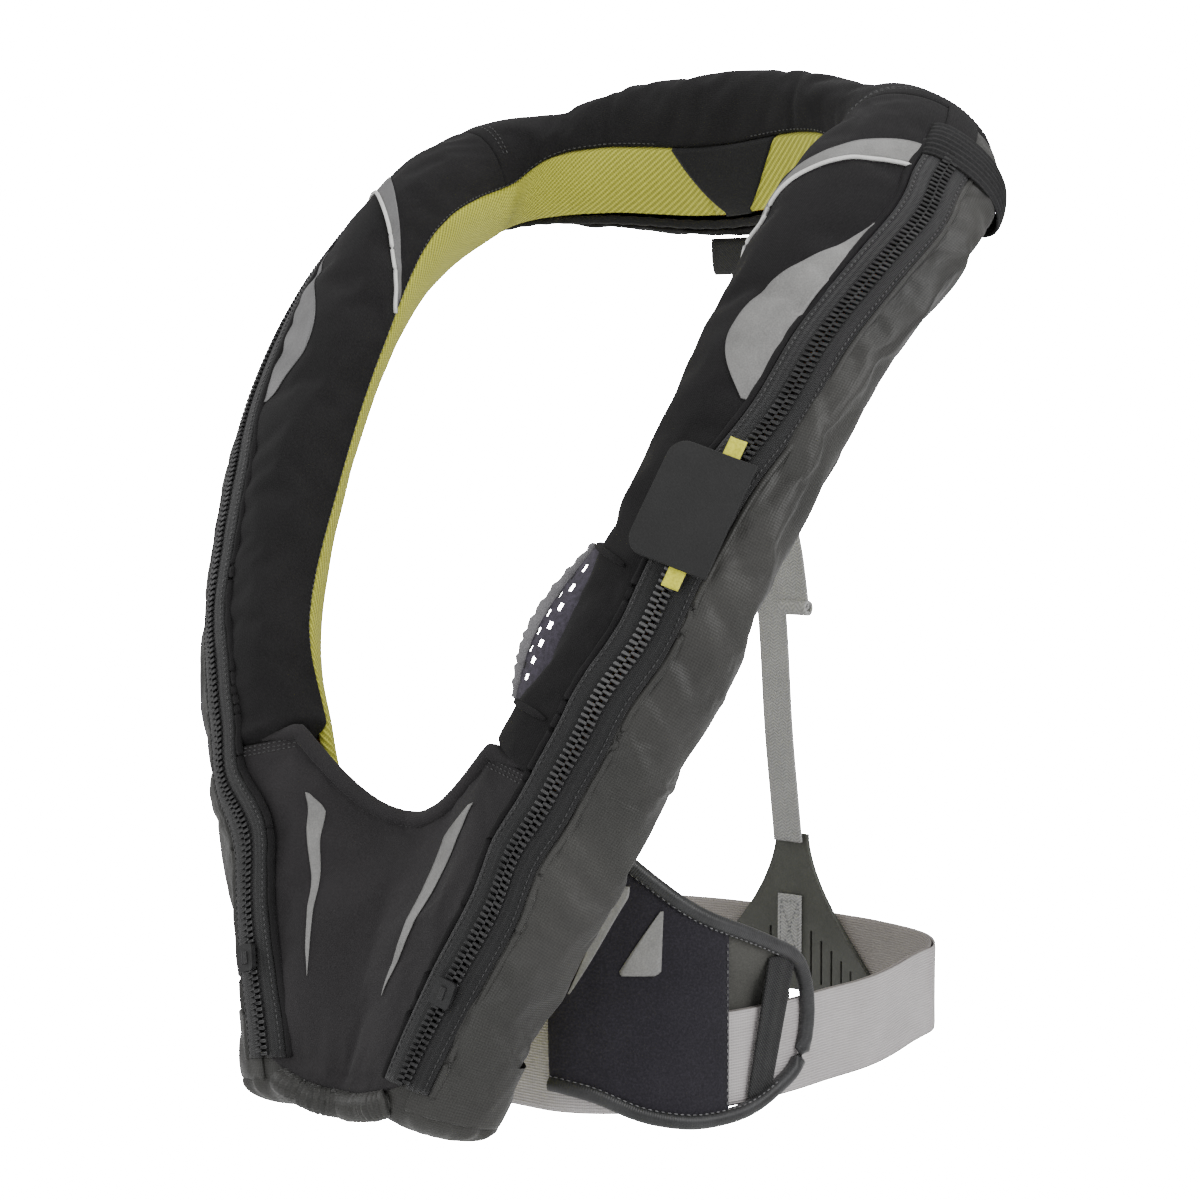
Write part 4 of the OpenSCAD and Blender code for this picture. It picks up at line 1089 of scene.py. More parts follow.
leaf_from, leaf_to = 0.37, 0.5
band_from, band_lean, band_wide = 0.297, 0.105, 0.02
def shoulder_leaf(word, side):
    """Pointed leaf, its straight side along the zip."""
    rows = []
    for i in range(61):
        t = i / 60
        u = mix(leaf_from + 0.002, leaf_to - 0.002, t)
        wide = sin(pi * min(1, max(0, (u - leaf_from) / (leaf_to - leaf_from))) ** 1.4)
        start = zip_angle(u) + turn_of(chain_half + tape_wide + 0.0016 + 0.0012 * sin(pi * t), u)
        end = start + turn_of(0.0008 + 0.0285 * wide, u)
        rows.append([(u, mix(start, end, j / 16)) for j in range(17)])
    return pressed_on(word + "_leaf_film", rows, side, 0.0007)


def shoulder_band(word, side):
    """Band from the zip to the neck, half as deep there, and the line of its foot."""
    rows, foot = [], []
    for i in range(61):
        t = i / 60
        u = band_from + band_lean * t ** 1.6
        angle = mix(zip_angle(u) + turn_of(chain_half + tape_wide + 0.001, u), lining_angle(u) - 3, t)
        deep = band_wide * (1 - 0.5 * t)
        rows.append([(u + deep * j / 8, angle) for j in reversed(range(9))])
        p, out = lobe(u + deep + 0.002, angle), outward(u + deep + 0.002, angle)
        foot.append(laid(trees[side], on_side(p, side), on_side(out, side), 0.0008))
    return pressed_on(word + "_band_film", rows, side, 0.0006), foot


# The right shoulder, the far one, takes the darker copy of the film: painted shade.
for side, word, film in ((1, "left", film_grey), (-1, "right", shaded_far_film)):
    leaf = shoulder_leaf(word, side)
    film.on(leaf)
    put(leaf, "jacket", word + "_shoulder_leaf", slot="reflective_film")
    band, foot = shoulder_band(word, side)
    film.on(band)
    put(band, "jacket", word + "_shoulder_band", slot="reflective_film")
    bright = rolled(word + "_band_piping", foot, 0.0011, sides=8)
    film_bright.on(bright)
    put(bright, "jacket", slot="reflective_film")


# Bib: one panel of matt stretch cloth that hangs between the two zips, top-stitched
# at the shoulder seams, with a rolled neckline binding, two printed slashes and
# a foot gathered on a cord.
bib_drop, bib_rise, bib_neck, bib_wall = 0.03, 0.009, 0.62, 0.003


def bib_point(s, t, lift):
    """A point on the bib: s from -1 at the right zip to 1 at the left, t down it."""
    u = mix(bib_top, zip_foot, t)
    e = lobe(u, zip_angle(u) + turn_of(chain_half + 0.0006, u), -cover_wall)
    side = abs(s)
    if side > bib_neck:
        top = bib_rise * (1 - side) / (1 - bib_neck)
    else:
        top = bib_rise - (bib_rise + bib_drop) * cos(side * pi / 2 / bib_neck)
    hollow = 0.02 * (1 - side * side) * (1 - 0.8 * t)
    swell = 0.005 * sin(pi * side) * (1 - t * 0.5)
    return Vector((e.x * s, e.y + hollow - swell - lift,
                   e.z + (1 - t) * top - 0.01 * t * (1 - side * side)))


bib_knit = knitted("bib_stretch_cloth", (0.022, 0.0205, 0.022), (0.038, 0.0355, 0.0375))
bib_columns, bib_lines = 76, 96
rows = []
for i in range(bib_lines + 1):
    t = i / bib_lines
    rows.append([])
    for j in range(bib_columns + 1):
        s = mix(0.995, -0.995, j / bib_columns)
        border = max(0.0, min(1.0, (1 - abs(s)) / 0.08, t / 0.06, (1 - t) / 0.04))
        fold = 0.0011 * noise.noise(Vector((s * 3.1, t * 2.2, 4.0)))
        pull = 0.0006 * noise.noise(Vector((s * 4 + t * 5, t * 1.4, 9.0))) \
            + 0.0007 * sin(abs(s) * 26 + t * 3) * max(0.0, t - 0.72) / 0.28 * (1 - abs(s)) * 1.4
        rows[-1].append(bib_point(s, t, bib_wall + (fold + pull) * border))
bib = sewn_sheet("bib_cloth_panel", rows)
held = {}
for i in range(bib_lines + 1):
    for j in range(bib_columns + 1):
        if i in (0, bib_lines) or j < 8 or j > bib_columns - 8:
            held[i * (bib_columns + 1) + j] = 1.0
settled(bib, held, 0.008, 0.5, 0.002)
finish_modifier(bib, "SOLIDIFY", thickness=0.0026, offset=-1.0)
finish_modifier(bib, "SUBSURF", levels=1, render_levels=1)
bib_knit.on(bib)
put(bib, "jacket", "bib_panel", slot="bib_cloth", fill=0.3)
bib_tree = BVHTree.FromObject(bib, bpy.context.evaluated_depsgraph_get())
bib_front = Vector((0, -1, 0))


def on_bib(s, t, lift):
    """A point on the settled bib."""
    return laid(bib_tree, bib_point(s, t, bib_wall), bib_front, lift)


def neckline(lift, out, reach, steps=90):
    """The bib's upper edge, from reach on the left to reach on the right."""
    path = []
    for i in range(steps + 1):
        s = mix(reach, -reach, i / steps)
        way = (bib_point(s + 0.01, 0, 0) - bib_point(s - 0.01, 0, 0)).normalized()
        path.append(bib_point(s, 0, lift) + Vector((-way.z, 0, way.x)) * out)
    return path


bound_radius = 0.0042
radii = [bound_radius * min(1, 0.3 + k / 14, 0.3 + (90 - k) / 14)
         * (1 + 0.04 * noise.noise(Vector((k / 3, 0, 0)))) for k in range(91)]
neck_roll = rolled("bib_neck_roll", neckline(bib_wall / 2, bound_radius * 0.35, bib_neck + 0.2),
                   radii, sides=14)
bib_knit.on(neck_roll)
put(neck_roll, "jacket", "bib_neck_binding", slot="bib_cloth", fill=0.7)
bib_rows = [[on_bib(s / 100, 0.012 + line * 0.016, 0.0001) for s in range(side * 62, side * 99, side)]
            for side in (1, -1) for line in (0, 1, 2)]
bib_rows.append([on_bib(s / 100, 0.02, 0.0001) for s in range(-60, 61)])
bib_stitches = stitched("bib_stitches", bib_rows)
black_thread.on(bib_stitches)
put(bib_stitches, "jacket")

for side, word in both_sides:
    rows = []
    for i in range(49):
        t = i / 48
        c = mix(0.5, 0.31 if side > 0 else 0.46, t)
        half = mix(0.14 if side > 0 else 0.06, 0.012, t ** 0.8) * sqrt(min(1, t * 30 + 0.35)) \
            * min(1, (1 - t) * 9 + 0.1)
        row = [on_bib(side * mix(c + half, c - half, j / 8), mix(0.17, 0.76, t), 0.0009) for j in range(9)]
        rows.append(row if side > 0 else list(reversed(row)))
    slash = sewn_sheet(word + "_bib_slash", rows, wall=0.0004)
    film_grey.on(slash)
    put(slash, "jacket", *(["bib_slashes"] if side > 0 else []), slot="reflective_film")

hem_radius = 0.0068
path = [bib_point(mix(0.86, -0.86, i / 160), 1, bib_wall / 2) - Vector((0, 0, hem_radius * 0.9))
        + Vector((0, 0.0006 * sin(i * 1.3), 0)) for i in range(161)]
radii = [hem_radius * min(1, 0.4 + i / 10, 0.4 + (160 - i) / 10)
         * (1 + 0.07 * sin(i * 1.15) + 0.05 * noise.noise(Vector((i / 5, 2, 0)))) for i in range(161)]
hem = rolled("bib_gathered_hem", path, radii, sides=14)
nylon.on(hem)
put(hem, "jacket", "bib_hem", slot="woven_nylon", fill=0.6)


# Waist: the belt runs round from the buckle under the bib, through a padded side
# panel each side, and flat across the back. Half of its run is given from above.
waist_route = [Vector((x, y, 0)) for x, y in (
    (0, .13), (.058, .126), (.104, .106), (.126, .06), (.132, -.01), (.13, -.08),
    (.116, -.13), (.09, -.157), (.06, -.172), (0, -.172))]
belt_middle, belt_wide, belt_thick = -0.398, 0.046, 0.002
front_run = 1 - 1 / 9
waist_core = Vector((0, -0.02, belt_middle))


def waist_centre(u):
    """The waist loop from above, for u from 0 at the spine to 1 at the buckle."""
    if u > front_run:
        return Vector((waist_route[8].x * (1 - u) / (1 - front_run), waist_route[9].y, 0))
    return along(waist_route, u)


def waist(u, lift, z):
    """A point round the waist: a negative station is on the wearer's right."""
    v = abs(u)
    if v < 0.01:
        d = Vector((1, 0, 0))
    elif v > front_run:
        d = Vector((-1, 0, 0))
    else:
        d = (waist_centre(v + 0.01) - waist_centre(v - 0.01)).normalized()
    p = waist_centre(v) + Vector((-d.y, d.x, 0)) * lift
    return Vector((-p.x if u < 0 else p.x, p.y, z))


def belt_finish(name, dark, light):
    """Ribbed elastic: close ribs across the belt's length, a finer cross weave."""
    elastic = Finish(name, Sheen_Weight=0.1, Sheen_Roughness=0.4, Specular_IOR_Level=0.4)
    over, down = elastic.cloth()
    ribs = (over * (2 * pi / 0.0014)).wave() ** 1.3
    picks = (down * (2 * pi / 0.0011)).wave()
    stretch = elastic.grain(0.03, 3.0)
    elastic.set(Base_Color=elastic.shades(ribs * 0.4 + picks * 0.15 + stretch * 0.45,
                                          (0.2, dark), (0.8, light)),
                Roughness=ribs * 0.12 + 0.6, Normal=elastic.raised(ribs * 0.8 + picks * 0.3, 0.00035, 0.8))
    return elastic


belt_outside = belt_finish("elastic_belt_outside", (0.42, 0.395, 0.395), (0.66, 0.63, 0.63))
belt_inside = belt_finish("elastic_belt_inside", (0.2, 0.18, 0.17), (0.34, 0.315, 0.3))


def belt_shift(u):
    """The unloaded belt bows a little between the panel and the plate."""
    free = max(0.0, 1 - abs(abs(u) - 0.36) / 0.16)
    return 0.0016 * sin(u * 46) * free, 0.0022 * sin(abs(u) * 30 + 0.8) * free


def belt_run(name, finish, lift, inside):
    """One face of the belt's elastic with a slightly thinner edge."""
    face = -1 if inside else 1
    rows = []
    for i in range(361):
        u = mix(-0.99, 0.99, i / 360)
        bow, drop = belt_shift(u)
        rows.append([])
        for j in range(19):
            t = j / 18
            rim = 0.0003 * exp_bump(min(t, 1 - t), 0.0, 0.03)
            z = belt_middle + belt_wide * (t - 0.5) - drop
            rows[-1].append(waist(u, lift + bow * sin(pi * t) - rim * face, z))
    if not inside:
        rows = [list(reversed(row)) for row in rows]
    piece = sewn_sheet(name, rows)
    finish_modifier(piece, "SOLIDIFY", thickness=0.0009, offset=-1.0)
    finish.on(piece)
    return piece


belt = belt_run("waist_belt_outside", belt_outside, belt_thick, inside=False)
belt_long = 0.955
put(belt, "jacket", "waist_belt", slot="grey_elastic", flat=(belt_wide, belt_long), on=["buckle_socket"])
belt_back = belt_run("waist_belt_inside", belt_inside, 0.0, inside=True)
put(belt_back, "jacket", slot="grey_elastic", flat=(belt_wide, belt_long), on=[belt])


# Side panels: foam-backed knit, dark with a faint purple cast and a pale speck,
# edged with a thick satin binding that is stitched just inside its fold. The
# cloth ends at an upright seam, and the belt shows in the gap behind it.
panel_front, panel_seam, panel_back = 0.88, 0.63, 0.53
panel_wall, bind_radius = 0.0034, 0.0032
panel_lift = belt_thick + bind_radius - panel_wall / 2 + 0.0004
panel_edge = 1.3 * bind_radius + 0.0006
panel_middle, panel_face = panel_lift + panel_wall / 2, panel_lift + panel_wall
panel_tops = (-.355, -.338, -.325, -.305, -.286, -.284)
panel_feet = (-.406, -.424, -.426, -.421, -.411, -.406)


def between(marks, u):
    """An edge's height at a station, from its marks between the panel's ends."""
    s = min(max((u - panel_back) / (panel_front - panel_back), 0), 1) * (len(marks) - 1)
    i = min(int(s), len(marks) - 2)
    return mix(marks[i], marks[i + 1], s - i)


def rounded(marks, u):
    """The same with the corners at the marks taken off."""
    return sum(between(marks, u + d) for d in (-0.02, -0.01, 0, 0.01, 0.02)) / 5


foam_knit = Finish("foam_backed_knit", Sheen_Weight=0.1, Sheen_Roughness=0.5, Specular_IOR_Level=0.25)
speck = foam_knit.grain(0.0011, 3.0, roughness=0.7)
cast = foam_knit.grain(0.03, 2.0)
foam_knit.set(Base_Color=foam_knit.blend(
    speck * 0.75 + cast * 0.25,
    foam_knit.shades(cast, (0.3, (0.008, 0.007, 0.0105)), (0.7, (0.013, 0.0115, 0.016))),
    foam_knit.shades(speck, (0.4, (0.017, 0.0155, 0.022)), (0.75, (0.042, 0.038, 0.05)))),
    Roughness=speck * 0.15 + 0.74, Normal=foam_knit.raised(speck, 0.0004, 0.7))
backing_knit = knitted("grey_backing_knit", (0.055, 0.055, 0.05), (0.095, 0.095, 0.086))
bound_edge = Finish("satin_binding", Specular_IOR_Level=0.5, Sheen_Weight=0.1)
over, down = bound_edge.cloth()
cross = (down * (2 * pi / 0.0012)).wave()
worn = bound_edge.grain(0.015, 3.0)
bound_edge.set(Base_Color=bound_edge.shades(worn, (0.3, (0.013, 0.0135, 0.0145)),
                                            (0.75, (0.034, 0.035, 0.037))),
               Roughness=worn * 0.15 + 0.36, Normal=bound_edge.raised(cross, 0.00015, 0.5))
panel_thread = Finish("grey_thread", Sheen_Weight=0.2)
panel_thread.set(Base_Color=panel_thread.shades(panel_thread.grain(0.002), (0.3, (0.09, 0.09, 0.095)),
                                                (0.7, (0.22, 0.22, 0.23))), Roughness=0.5)
def side_pad(word, side):
    """Foam-backed cloth from under the lobe to the upright seam, a little puffed."""
    rows = []
    for i in range(71):
        u = mix(panel_front, panel_seam, i / 70)
        top, foot = rounded(panel_tops, u) - panel_edge * 0.55, rounded(panel_feet, u) + panel_edge * 0.55
        rows.append([])
        for j in range(41):
            t = j / 40
            puff = 0.0012 * (1 - (2 * t - 1) ** 6) + 0.0007 * noise.noise(Vector((u * 26, t * 2.2, side)))
            ease = min(1.0, (u - panel_seam) / 0.008)
            rows[-1].append(waist(side * u, panel_face - 0.0008 + puff * ease, mix(foot, top, t)))
    panel = sewn_sheet(word + "_side_pad", rows, core=waist_core)
    finish_modifier(panel, "SOLIDIFY", thickness=panel_wall, offset=-1.0)
    finish_modifier(panel, "BEVEL", width=0.0006, segments=2, limit_method="ANGLE", angle_limit=radians(60))
    foam_knit.on(panel)
    put(panel, "jacket", word + "_side_panel", slot="padded_cloth", fill=0.4)


def panel_backing(word, side):
    """Grey lining at the open end, on the wearer's side of the belt."""
    rows = []
    for i in range(31):
        u = mix(panel_back + 0.004, panel_seam + 0.01, i / 30)
        turn = sqrt(max(0.0, min(1.0, (u - panel_back) / 0.03)))
        high, low = rounded(panel_tops, u), rounded(panel_feet, u) + 0.002
        half = (high - low) / 2 * mix(0.45, 1, turn)
        rows.append([])
        for j in range(33):
            z = (high + low) / 2 + half * mix(-1, 1, j / 32)
            # Above the belt it comes out to the binding
            t = max(0.0, min(1.0, (z + 0.371) / 0.024))
            rows[-1].append(waist(side * u, mix(-0.0024, panel_middle - 0.0008, t * t * (3 - 2 * t)), z))
    backing = sewn_sheet(word + "_panel_backing", rows, wall=0.0012, core=waist_core)
    backing_knit.on(backing)
    put(backing, "jacket", fill=0.1)


def panel_binding(word, side):
    """Satin binding along the top, round the open end and back along the foot."""
    turn = panel_back + 0.02
    path = [waist(side * u, panel_middle, rounded(panel_tops, u)) for u in
            (mix(panel_front, turn, i / 70) for i in range(71))]
    turn_up, turn_down = path[-1].z, rounded(panel_feet, turn)
    for i in range(1, 12):
        a = pi * i / 12
        path.append(waist(side * (turn - 0.025 * sin(a)), panel_middle,
                          mix(turn_up, turn_down, (1 - cos(a)) / 2)))
    path += [waist(side * u, panel_middle, rounded(panel_feet, u)) for u in
             (mix(turn, panel_front, i / 70) for i in range(71))]
    for _ in range(6):
        path = [path[0]] + [(p + 2 * q + r) / 4 for p, q, r in zip(path, path[1:], path[2:])] + [path[-1]]
    binding = rolled(word + "_panel_edge_binding", path, bind_radius * 1.2, sides=14)
    bound_edge.on(binding)
    put(binding, "jacket", word + "_panel_binding", slot="binding_tape", fill=0.8)


def panel_stitches(word, side):
    """Grey thread just inside the binding and beside the upright seam."""
    inside = bind_radius * 1.25
    rows = [[waist(side * u, panel_face + 0.0005, rounded(edge, u) + inset) for u in
             (mix(panel_front, panel_back + 0.035, i / 120) for i in range(121))]
            for edge, inset in ((panel_tops, -inside), (panel_feet, inside))]
    high, low = rounded(panel_tops, panel_seam) - 0.006, rounded(panel_feet, panel_seam) + 0.006
    rows.append([waist(side * (panel_seam + 0.004), panel_face + 0.0004, mix(low, high, i / 40))
                 for i in range(41)])
    thread = stitched(word + "_panel_stitches", rows, pitch=0.0032, radius=0.0003)
    panel_thread.on(thread)
    put(thread, "jacket")


def panel_mark(name, side, outline):
    """A printed mark, from its outline's middle station, half width and height."""
    rows = []
    for i in range(29):
        c, half, z = outline(i / 28)
        rows.append([waist(side * (c + half * mix(1, -1, j / 8)), panel_face + 0.0011, z) for j in range(9)])
    mark = sewn_sheet(name, rows, wall=0.0004, core=waist_core)
    film_grey.on(mark)
    return mark


def slash_outline(t):
    return (mix(0.768, 0.852, t), mix(0.017, 0.0014, t ** 1.1) * min(1, sqrt(t * 7 + 0.25)),
            mix(-0.31, -0.362, t))


def wedge_outline(t):
    return (mix(0.716, 0.748, t), mix(0.002, 0.031, t) * min(1, sqrt((1 - t) * 7 + 0.55)),
            mix(-0.322, -0.353, t))


for side, word in both_sides:
    side_pad(word, side)
    panel_backing(word, side)
    panel_binding(word, side)
    panel_stitches(word, side)
    slash = panel_mark(word + "_panel_slash", side, slash_outline)
    wedge = panel_mark(word + "_panel_wedge", side, wedge_outline)
    put(slash, "jacket", *(["panel_marks"] if side > 0 else []), slot="reflective_film")
    put(wedge, "jacket", slot="reflective_film")


# Keeper straps: a length of black ribbed webbing from binding to binding at the open
# end of each panel, over the belt, its ends sewn in under the bindings.
keeper_wide, keeper_long = 0.019, 0.085
webbing_black = Finish("black_webbing", Sheen_Weight=0.08, Specular_IOR_Level=0.4)
over, down = webbing_black.cloth()
twill = ((down + over) * (2 * pi / 0.0016)).wave()
worn = webbing_black.grain(0.01, 3.0)
webbing_black.set(Base_Color=webbing_black.shades(twill * 0.5 + worn * 0.5, (0.25, (0.008, 0.008, 0.0085)),
                                                  (0.8, (0.026, 0.026, 0.027))),
                  Roughness=worn * 0.2 + 0.5, Normal=webbing_black.raised(twill, 0.0003, 0.8))
for side, word in both_sides:
    rows = []
    for i in range(41):
        t = i / 40
        c = mix(panel_back + 0.03, panel_back + 0.06, t)
        z = mix(rounded(panel_tops, c) - 0.003, rounded(panel_feet, c) + 0.003, t)
        half = 0.0171 * (1 - 0.18 * t)
        lift = panel_lift + 0.0021 + 0.0008 * sin(pi * t)
        rows.append([waist(side * (c + half * mix(1, -1, j / 12)), lift + 0.0002 * cos(j * pi / 3), z)
                     for j in range(13)])
    keeper = sewn_sheet(word + "_keeper_webbing", rows, wall=0.0013, core=waist_core)
    webbing_black.on(keeper)
    put(keeper, "jacket", *(["keeper_straps"] if side > 0 else []), slot="black_webbing",
        flat=(keeper_wide, keeper_long), on=[word + "_panel_edge_binding"])


# Back plate: one moulding in grey-green plastic, a neck that widens into a fan with
# a rounded rim. Slits at its foot let it bend with the back, and it lies on
# the wearer's side of the belt.
plate_top, plate_high, plate_half, plate_wall = -0.33, 0.092, 0.072, 0.003
plate_inset = 0.0012    # from the belt's inner face to the plate's outer one
strap_wide, strap_thick = 0.019, 0.0016
plate_pace = (waist_route[1] - waist_route[0]).length * 9
moulded_grey = Finish("moulded_grey_plastic", Specular_IOR_Level=0.45)
pebble = moulded_grey.grain(0.0009, 2.0)
scuffs = moulded_grey.grain(0.03, 4.0, roughness=0.65)
moulded_grey.set(Base_Color=moulded_grey.shades(scuffs * 0.8 + pebble * 0.2, (0.3, (0.05, 0.052, 0.045)),
                                                (0.75, (0.082, 0.085, 0.075))),
                 Roughness=scuffs * 0.2 + 0.38, Normal=moulded_grey.raised(pebble, 0.00012, 0.6))
slit_half, slit_pitch = 0.0007, 0.007
slits = [(k * slit_pitch, 0.5 + 0.055 * abs(k)) for k in range(-7, 8) if abs(k) > 1]


def plate_reach(t):
    """Half width of the fan, t of the way down it."""
    return mix(strap_wide / 2 + 0.001, plate_half, t ** 1.7)


outer_column = 0.055
columns = (0.0035, 0.007, 0.0105, outer_column, 0.06, 0.066, plate_half)
edges = sorted([x + e for x, _ in slits for e in (-slit_half, slit_half)]
               + [0.0] + [s * x for s in (-1, 1) for x in columns])
points, faces, lines = [], [], 92
for i in range(lines + 1):
    t = i / lines
    reach = plate_reach(t)
    for x in edges:
        # The outer columns close up on the fan's edge
        at = max(-reach, min(reach, x))
        if abs(x) > outer_column:
            share = (abs(x) - outer_column) / (plate_half - outer_column)
            at = (1 if x > 0 else -1) * mix(min(outer_column, reach), reach, share)
        points.append(waist(at / plate_pace, -plate_inset, plate_top - plate_high * t))
n = len(edges)
for i in range(lines):
    for j in range(n - 1):
        t, at = (i + 0.5) / lines, (edges[j] + edges[j + 1]) / 2
        cut = any(abs(at - x) < slit_half and 0.95 > t > start and abs(x) < plate_reach(t) - 0.004
                  for x, start in slits)
        if not cut:
            k = i * n + j
            faces.append((k, k + n, k + n + 1, k + 1))
plate = in_edit(new_piece("back_plate_moulding", points, faces),
                (bpy.ops.mesh.remove_doubles, {"threshold": 0.00012}),
                (bpy.ops.mesh.dissolve_degenerate, {"threshold": 0.00005}))
finish_modifier(plate, "SOLIDIFY", thickness=plate_wall, offset=1.0)
finish_modifier(plate, "BEVEL", width=0.0008, segments=2, limit_method="ANGLE", angle_limit=radians(50))
in_edit(plate, (bpy.ops.mesh.delete_loose, {}))
bpy.ops.object.shade_smooth_by_angle(angle=radians(40))
moulded_grey.on(plate)
put(plate, "jacket", "back_plate", slot="grey_plastic")


# Back strap: grey woven webbing from under the rear collar down to the plate, where
# its end is stitched on in a box. A three-bar slider takes up its length.
webbing_grey = Finish("grey_webbing", Sheen_Weight=0.1, Specular_IOR_Level=0.4)
over, down = webbing_grey.cloth()
chevron = ((down + ((over * (1 / 0.0065)).fraction() - 0.5).size() * 0.0045) * (2 * pi / 0.0019)).wave()
yarn = (over * (2 * pi / 0.0011)).wave()
worn = webbing_grey.grain(0.02, 3.0)
webbing_grey.set(Base_Color=webbing_grey.shades(chevron * 0.4 + yarn * 0.2 + worn * 0.4,
                                                (0.2, (0.23, 0.23, 0.228)), (0.8, (0.43, 0.43, 0.425))),
                 Roughness=worn * 0.15 + 0.6,
                 Normal=webbing_grey.raised(chevron * 0.7 + yarn * 0.3, 0.0003, 0.8))
strap_top, strap_foot = Vector((0, .078, .004)), Vector((0, .124, plate_top - .004))
strap_way = (strap_foot - strap_top).normalized()
strap_long = (strap_foot - strap_top).length


def on_strap(x, along_it, back):
    """Place on the back strap: across it, down it and out of its back."""
    y = -strap_way
    return strap_top + Vector((x, 0, 0)) + strap_way * along_it + Vector((1, 0, 0)).cross(y) * back


def flat_webbing(name, path, wide, thick, finish):
    """Flat webbing along (across, down, back) places on the back strap."""
    rows = [[on_strap(x + wide * (j / 10 - 0.5), d, b + 0.0002 * cos(j * pi / 5)) for j in range(11)]
            for x, d, b in path]
    piece = sewn_sheet(name, rows)
    finish_modifier(piece, "SOLIDIFY", thickness=thick, offset=-1.0)
    finish.on(piece)
    return piece


back_path = [(0.0004 * sin(i / 9), strap_long * i / 120, 0.0009 + 0.0006 * sin(pi * i / 120) * sin(i / 7))
             for i in range(121)]
back_strap = flat_webbing("back_strap_webbing", back_path, strap_wide, strap_thick, webbing_grey)
put(back_strap, "jacket", "back_strap", slot="grey_webbing", flat=(strap_wide, 0.342), on=["collar_anchor"])
insert_down, insert_high = 0.056, 0.04
plate_back = waist(0, 0, 0).y - plate_inset - plate_wall
insert_rows = []
for i in range(25):
    t = i / 24
    z = plate_top - insert_down + insert_high / 2 - insert_high * t
    y = plate_back - 0.0006
    insert_rows.append([Vector(((j / 10 - 0.5) * (strap_wide - 0.003),
                                y - 0.0009 - 0.0002 * cos(j * pi / 5), z)) for j in range(11)])
insert = sewn_sheet("strap_end_insert", [list(reversed(row)) for row in insert_rows], wall=0.0012)
webbing_grey.on(insert)
put(insert, "jacket", "strap_insert", slot="grey_webbing")
box_x, box_y = 0.0062, plate_back - 0.0018
box_z = (plate_top - 0.04, plate_top - 0.072)
corners = [Vector((-box_x, box_y, box_z[0])), Vector((box_x, box_y, box_z[0])),
           Vector((box_x, box_y, box_z[1])), Vector((-box_x, box_y, box_z[1]))]
box_rows = [[a.lerp(b, i / 20) for i in range(21)] for a, b in
            ((corners[0], corners[1]), (corners[1], corners[2]), (corners[2], corners[3]),
             (corners[3], corners[0]), (corners[0], corners[2]), (corners[1], corners[3]))]
box_stitches = stitched("strap_box_stitches", box_rows)
panel_thread.on(box_stitches)
put(box_stitches, "jacket")


# Strap tail: the free end of the webbing hangs behind the strap and ends in a fold
# that is rolled up and stitched so that it can't slip back through the slider.
slider_down = 0.118
tail_route = ((.003, .011, .0016), (.006, .022, .003), (.01, .036, .005), (.013, .052, .006),
              (.014, .068, .006), (.014, .084, .005))


def tail_at(t):
    """A place along the tail, smoothed later: across, down and back."""
    s = min(max(t, 0), 1) * 5
    i = min(int(s), 4)
    a, b = tail_route[i], tail_route[i + 1]
    x, d, back = (mix(a[k], b[k], s - i) for k in range(3))
    return x + 0.006, slider_down + d, back + 0.0008


tail_path = []
for i in range(61):
    spots = [tail_at((i + k) / 60) for k in (-3, -1, 1, 3)]
    tail_path.append(tuple(sum(p[k] for p in spots) / 4 for k in range(3)))
# The last turn is rolled into a flat fold
x_end, d_end, b_end = tail_path[-1]
for i in range(1, 22):
    a = 2 * pi * i / 16
    r = 0.0037 - 0.00009 * i
    tail_path.append((x_end, d_end - 0.0002 + r * sin(a), b_end + 0.0038 - r * (1 - cos(a))))
tail = flat_webbing("strap_tail_webbing", tail_path, strap_wide, 0.0014, webbing_grey)
put(tail, "strap_slide_bar", "strap_tail", slot="grey_webbing", flat=(strap_wide, 0.11), held="hung",
    on=["strap_slider"])
tail_rows = [[on_strap(tail_at(0.86)[0] + x / 10000, slider_down + 0.0735 + off, tail_at(0.86)[2] + 0.0006)
              for x in range(-82, 83, 6)] for off in (0.0, 0.0022)]
tail_stitches = stitched("strap_tail_stitches", tail_rows)
panel_thread.on(tail_stitches)
put(tail_stitches, "strap_slide_bar")


# Collar anchor: a doubled loop of black webbing sewn under the rear collar, with the
# top end of the back strap caught inside it.
x_half = (strap_wide + 0.006) / 2
rows = []
for i in range(33):
    t = i / 32
    a = pi * t
    z = 0.0115 - 0.0006 - 0.02 * sin(a) ** 0.7
    y = 0.066 + 0.0043 * cos(a)
    rows.append([Vector((mix(-x_half, x_half, j / 10), y, z)) for j in range(11)])
anchor = sewn_sheet("collar_anchor_loop", rows)
finish_modifier(anchor, "SOLIDIFY", thickness=0.0014, offset=-1.0)
webbing_black.on(anchor)
put(anchor, "jacket", "collar_anchor", slot="black_webbing")


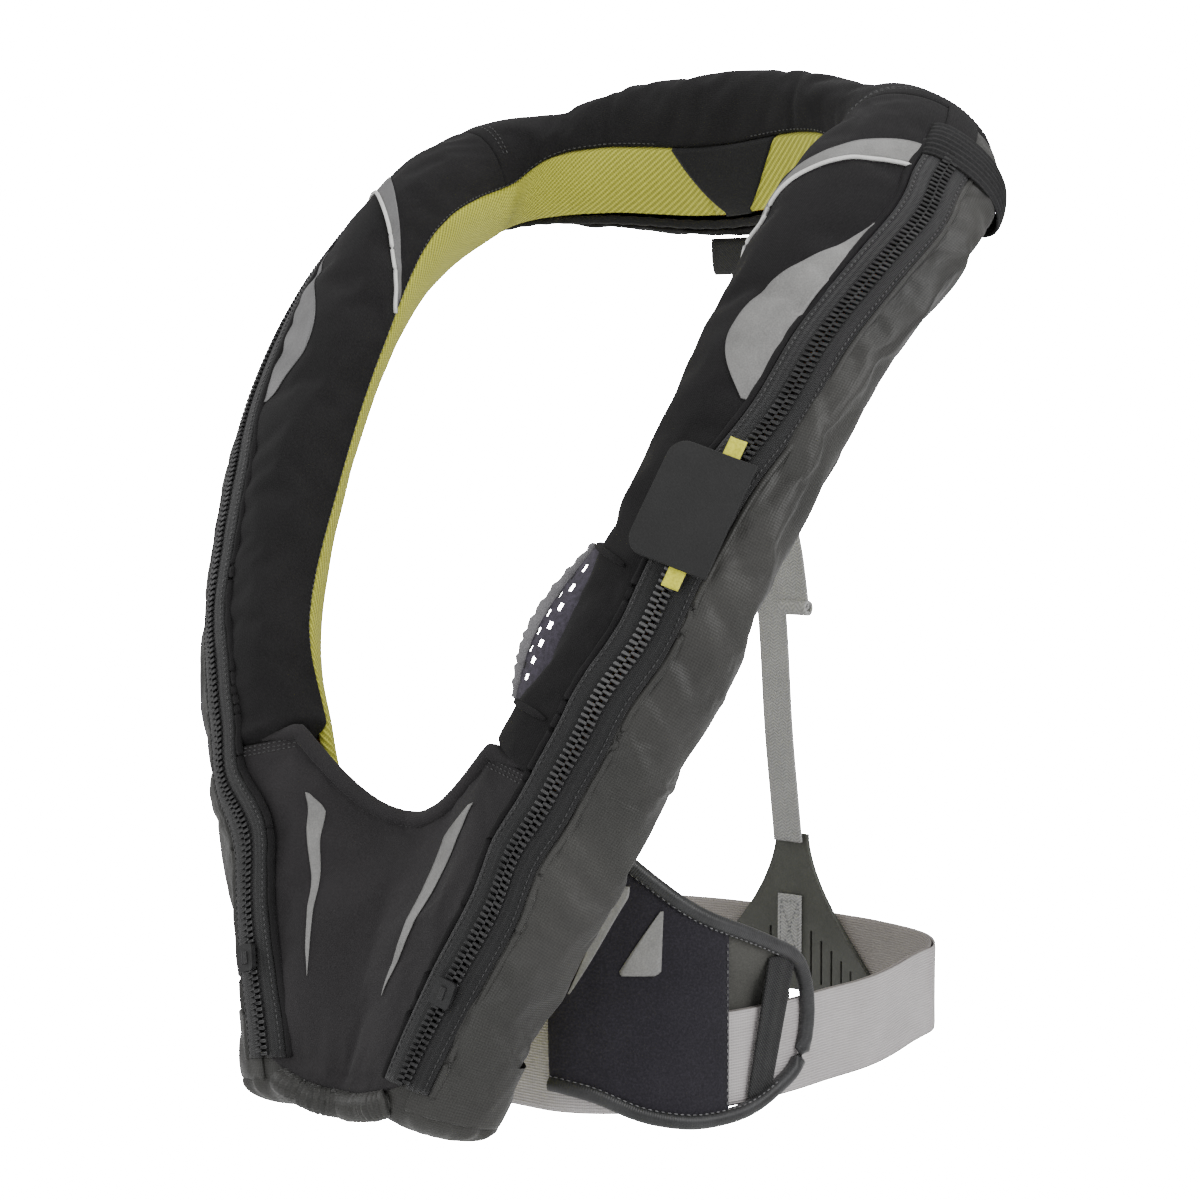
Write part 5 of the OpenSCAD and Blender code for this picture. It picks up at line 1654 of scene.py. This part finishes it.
# Moulded fittings: the sliders, the buckle, the adjuster and the inflation set keep
# their moulded shapes, and get the gloss, pebble and rubbing of their plastics.
def moulded(name, dark, light, rough):
    """Moulded plastic with a fine pebble and rubbed patches."""
    plastic = Finish(name, Specular_IOR_Level=0.5)
    pebble = plastic.grain(0.0007, 2.0)
    rubs = plastic.grain(0.008, 4.0, roughness=0.7)
    plastic.set(Base_Color=plastic.shades(rubs * 0.7 + pebble * 0.3, (0.3, dark), (0.75, light)),
                Roughness=rubs * 0.18 + rough, Normal=plastic.raised(pebble, 0.00008, 0.5))
    return plastic


def finished_node(finish, slot, *names):
    """Gives moulded pieces their finish, with their own shape as it is."""
    for name in names:
        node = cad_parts[name]
        for entry in node.material_slots:
            entry.material = finish.material


black_plastic = moulded("black_moulding", (0.009, 0.009, 0.0095), (0.028, 0.028, 0.029), 0.33)
red_plastic = moulded("red_moulding", (0.45, 0.02, 0.012), (0.62, 0.05, 0.03), 0.28)
yellow_plastic = moulded("yellow_moulding", (0.62, 0.42, 0.02), (0.8, 0.58, 0.05), 0.32)
cream_plastic = moulded("cream_moulding", (0.56, 0.53, 0.45), (0.72, 0.69, 0.6), 0.34)
steel = Finish("brushed_steel", Metallic=1.0)
streaks = steel.node("ShaderNodeMapping", None, Vector=steel.place(), Scale=(1.0, 1.0, 0.08))
lines_of = steel.grain(0.0006, 3.0, vector=streaks)
steel.set(Base_Color=steel.shades(lines_of, (0.3, (0.42, 0.43, 0.44)), (0.7, (0.6, 0.61, 0.62))),
          Roughness=lines_of * 0.2 + 0.25, Normal=steel.raised(lines_of, 0.00005, 0.5))
film_orange = Finish("chamber_coated_cloth", Specular_IOR_Level=0.5, Coat_Roughness=0.3)
fine = film_orange.grain(0.001, 2.0)
film_orange.set(Base_Color=film_orange.shades(fine, (0.3, (0.72, 0.3, 0.03)), (0.7, (0.88, 0.42, 0.05))),
                Roughness=fine * 0.2 + 0.4, Normal=film_orange.raised(fine, 0.0002, 0.8))
finished_node(black_plastic, "black_plastic", "left_zip_slider", "right_zip_slider", "buckle_socket",
              "buckle_tongue", "belt_adjuster", "inflator_nut", "mouth_valve", "valve_cap")
finished_node(red_plastic, "red_plastic", "buckle_button", "firing_lever")
finished_node(yellow_plastic, "yellow_plastic", "pull_handle", "mouth_tube")
finished_node(cream_plastic, "cream_plastic", "inflator_body", "whistle", "valve_plunger")
finished_node(moulded_grey, "grey_plastic", "strap_slider")
finished_node(steel, "steel", "gas_cylinder", "lever_pin")
finished_node(film_orange, "bladder_film", "bladder")
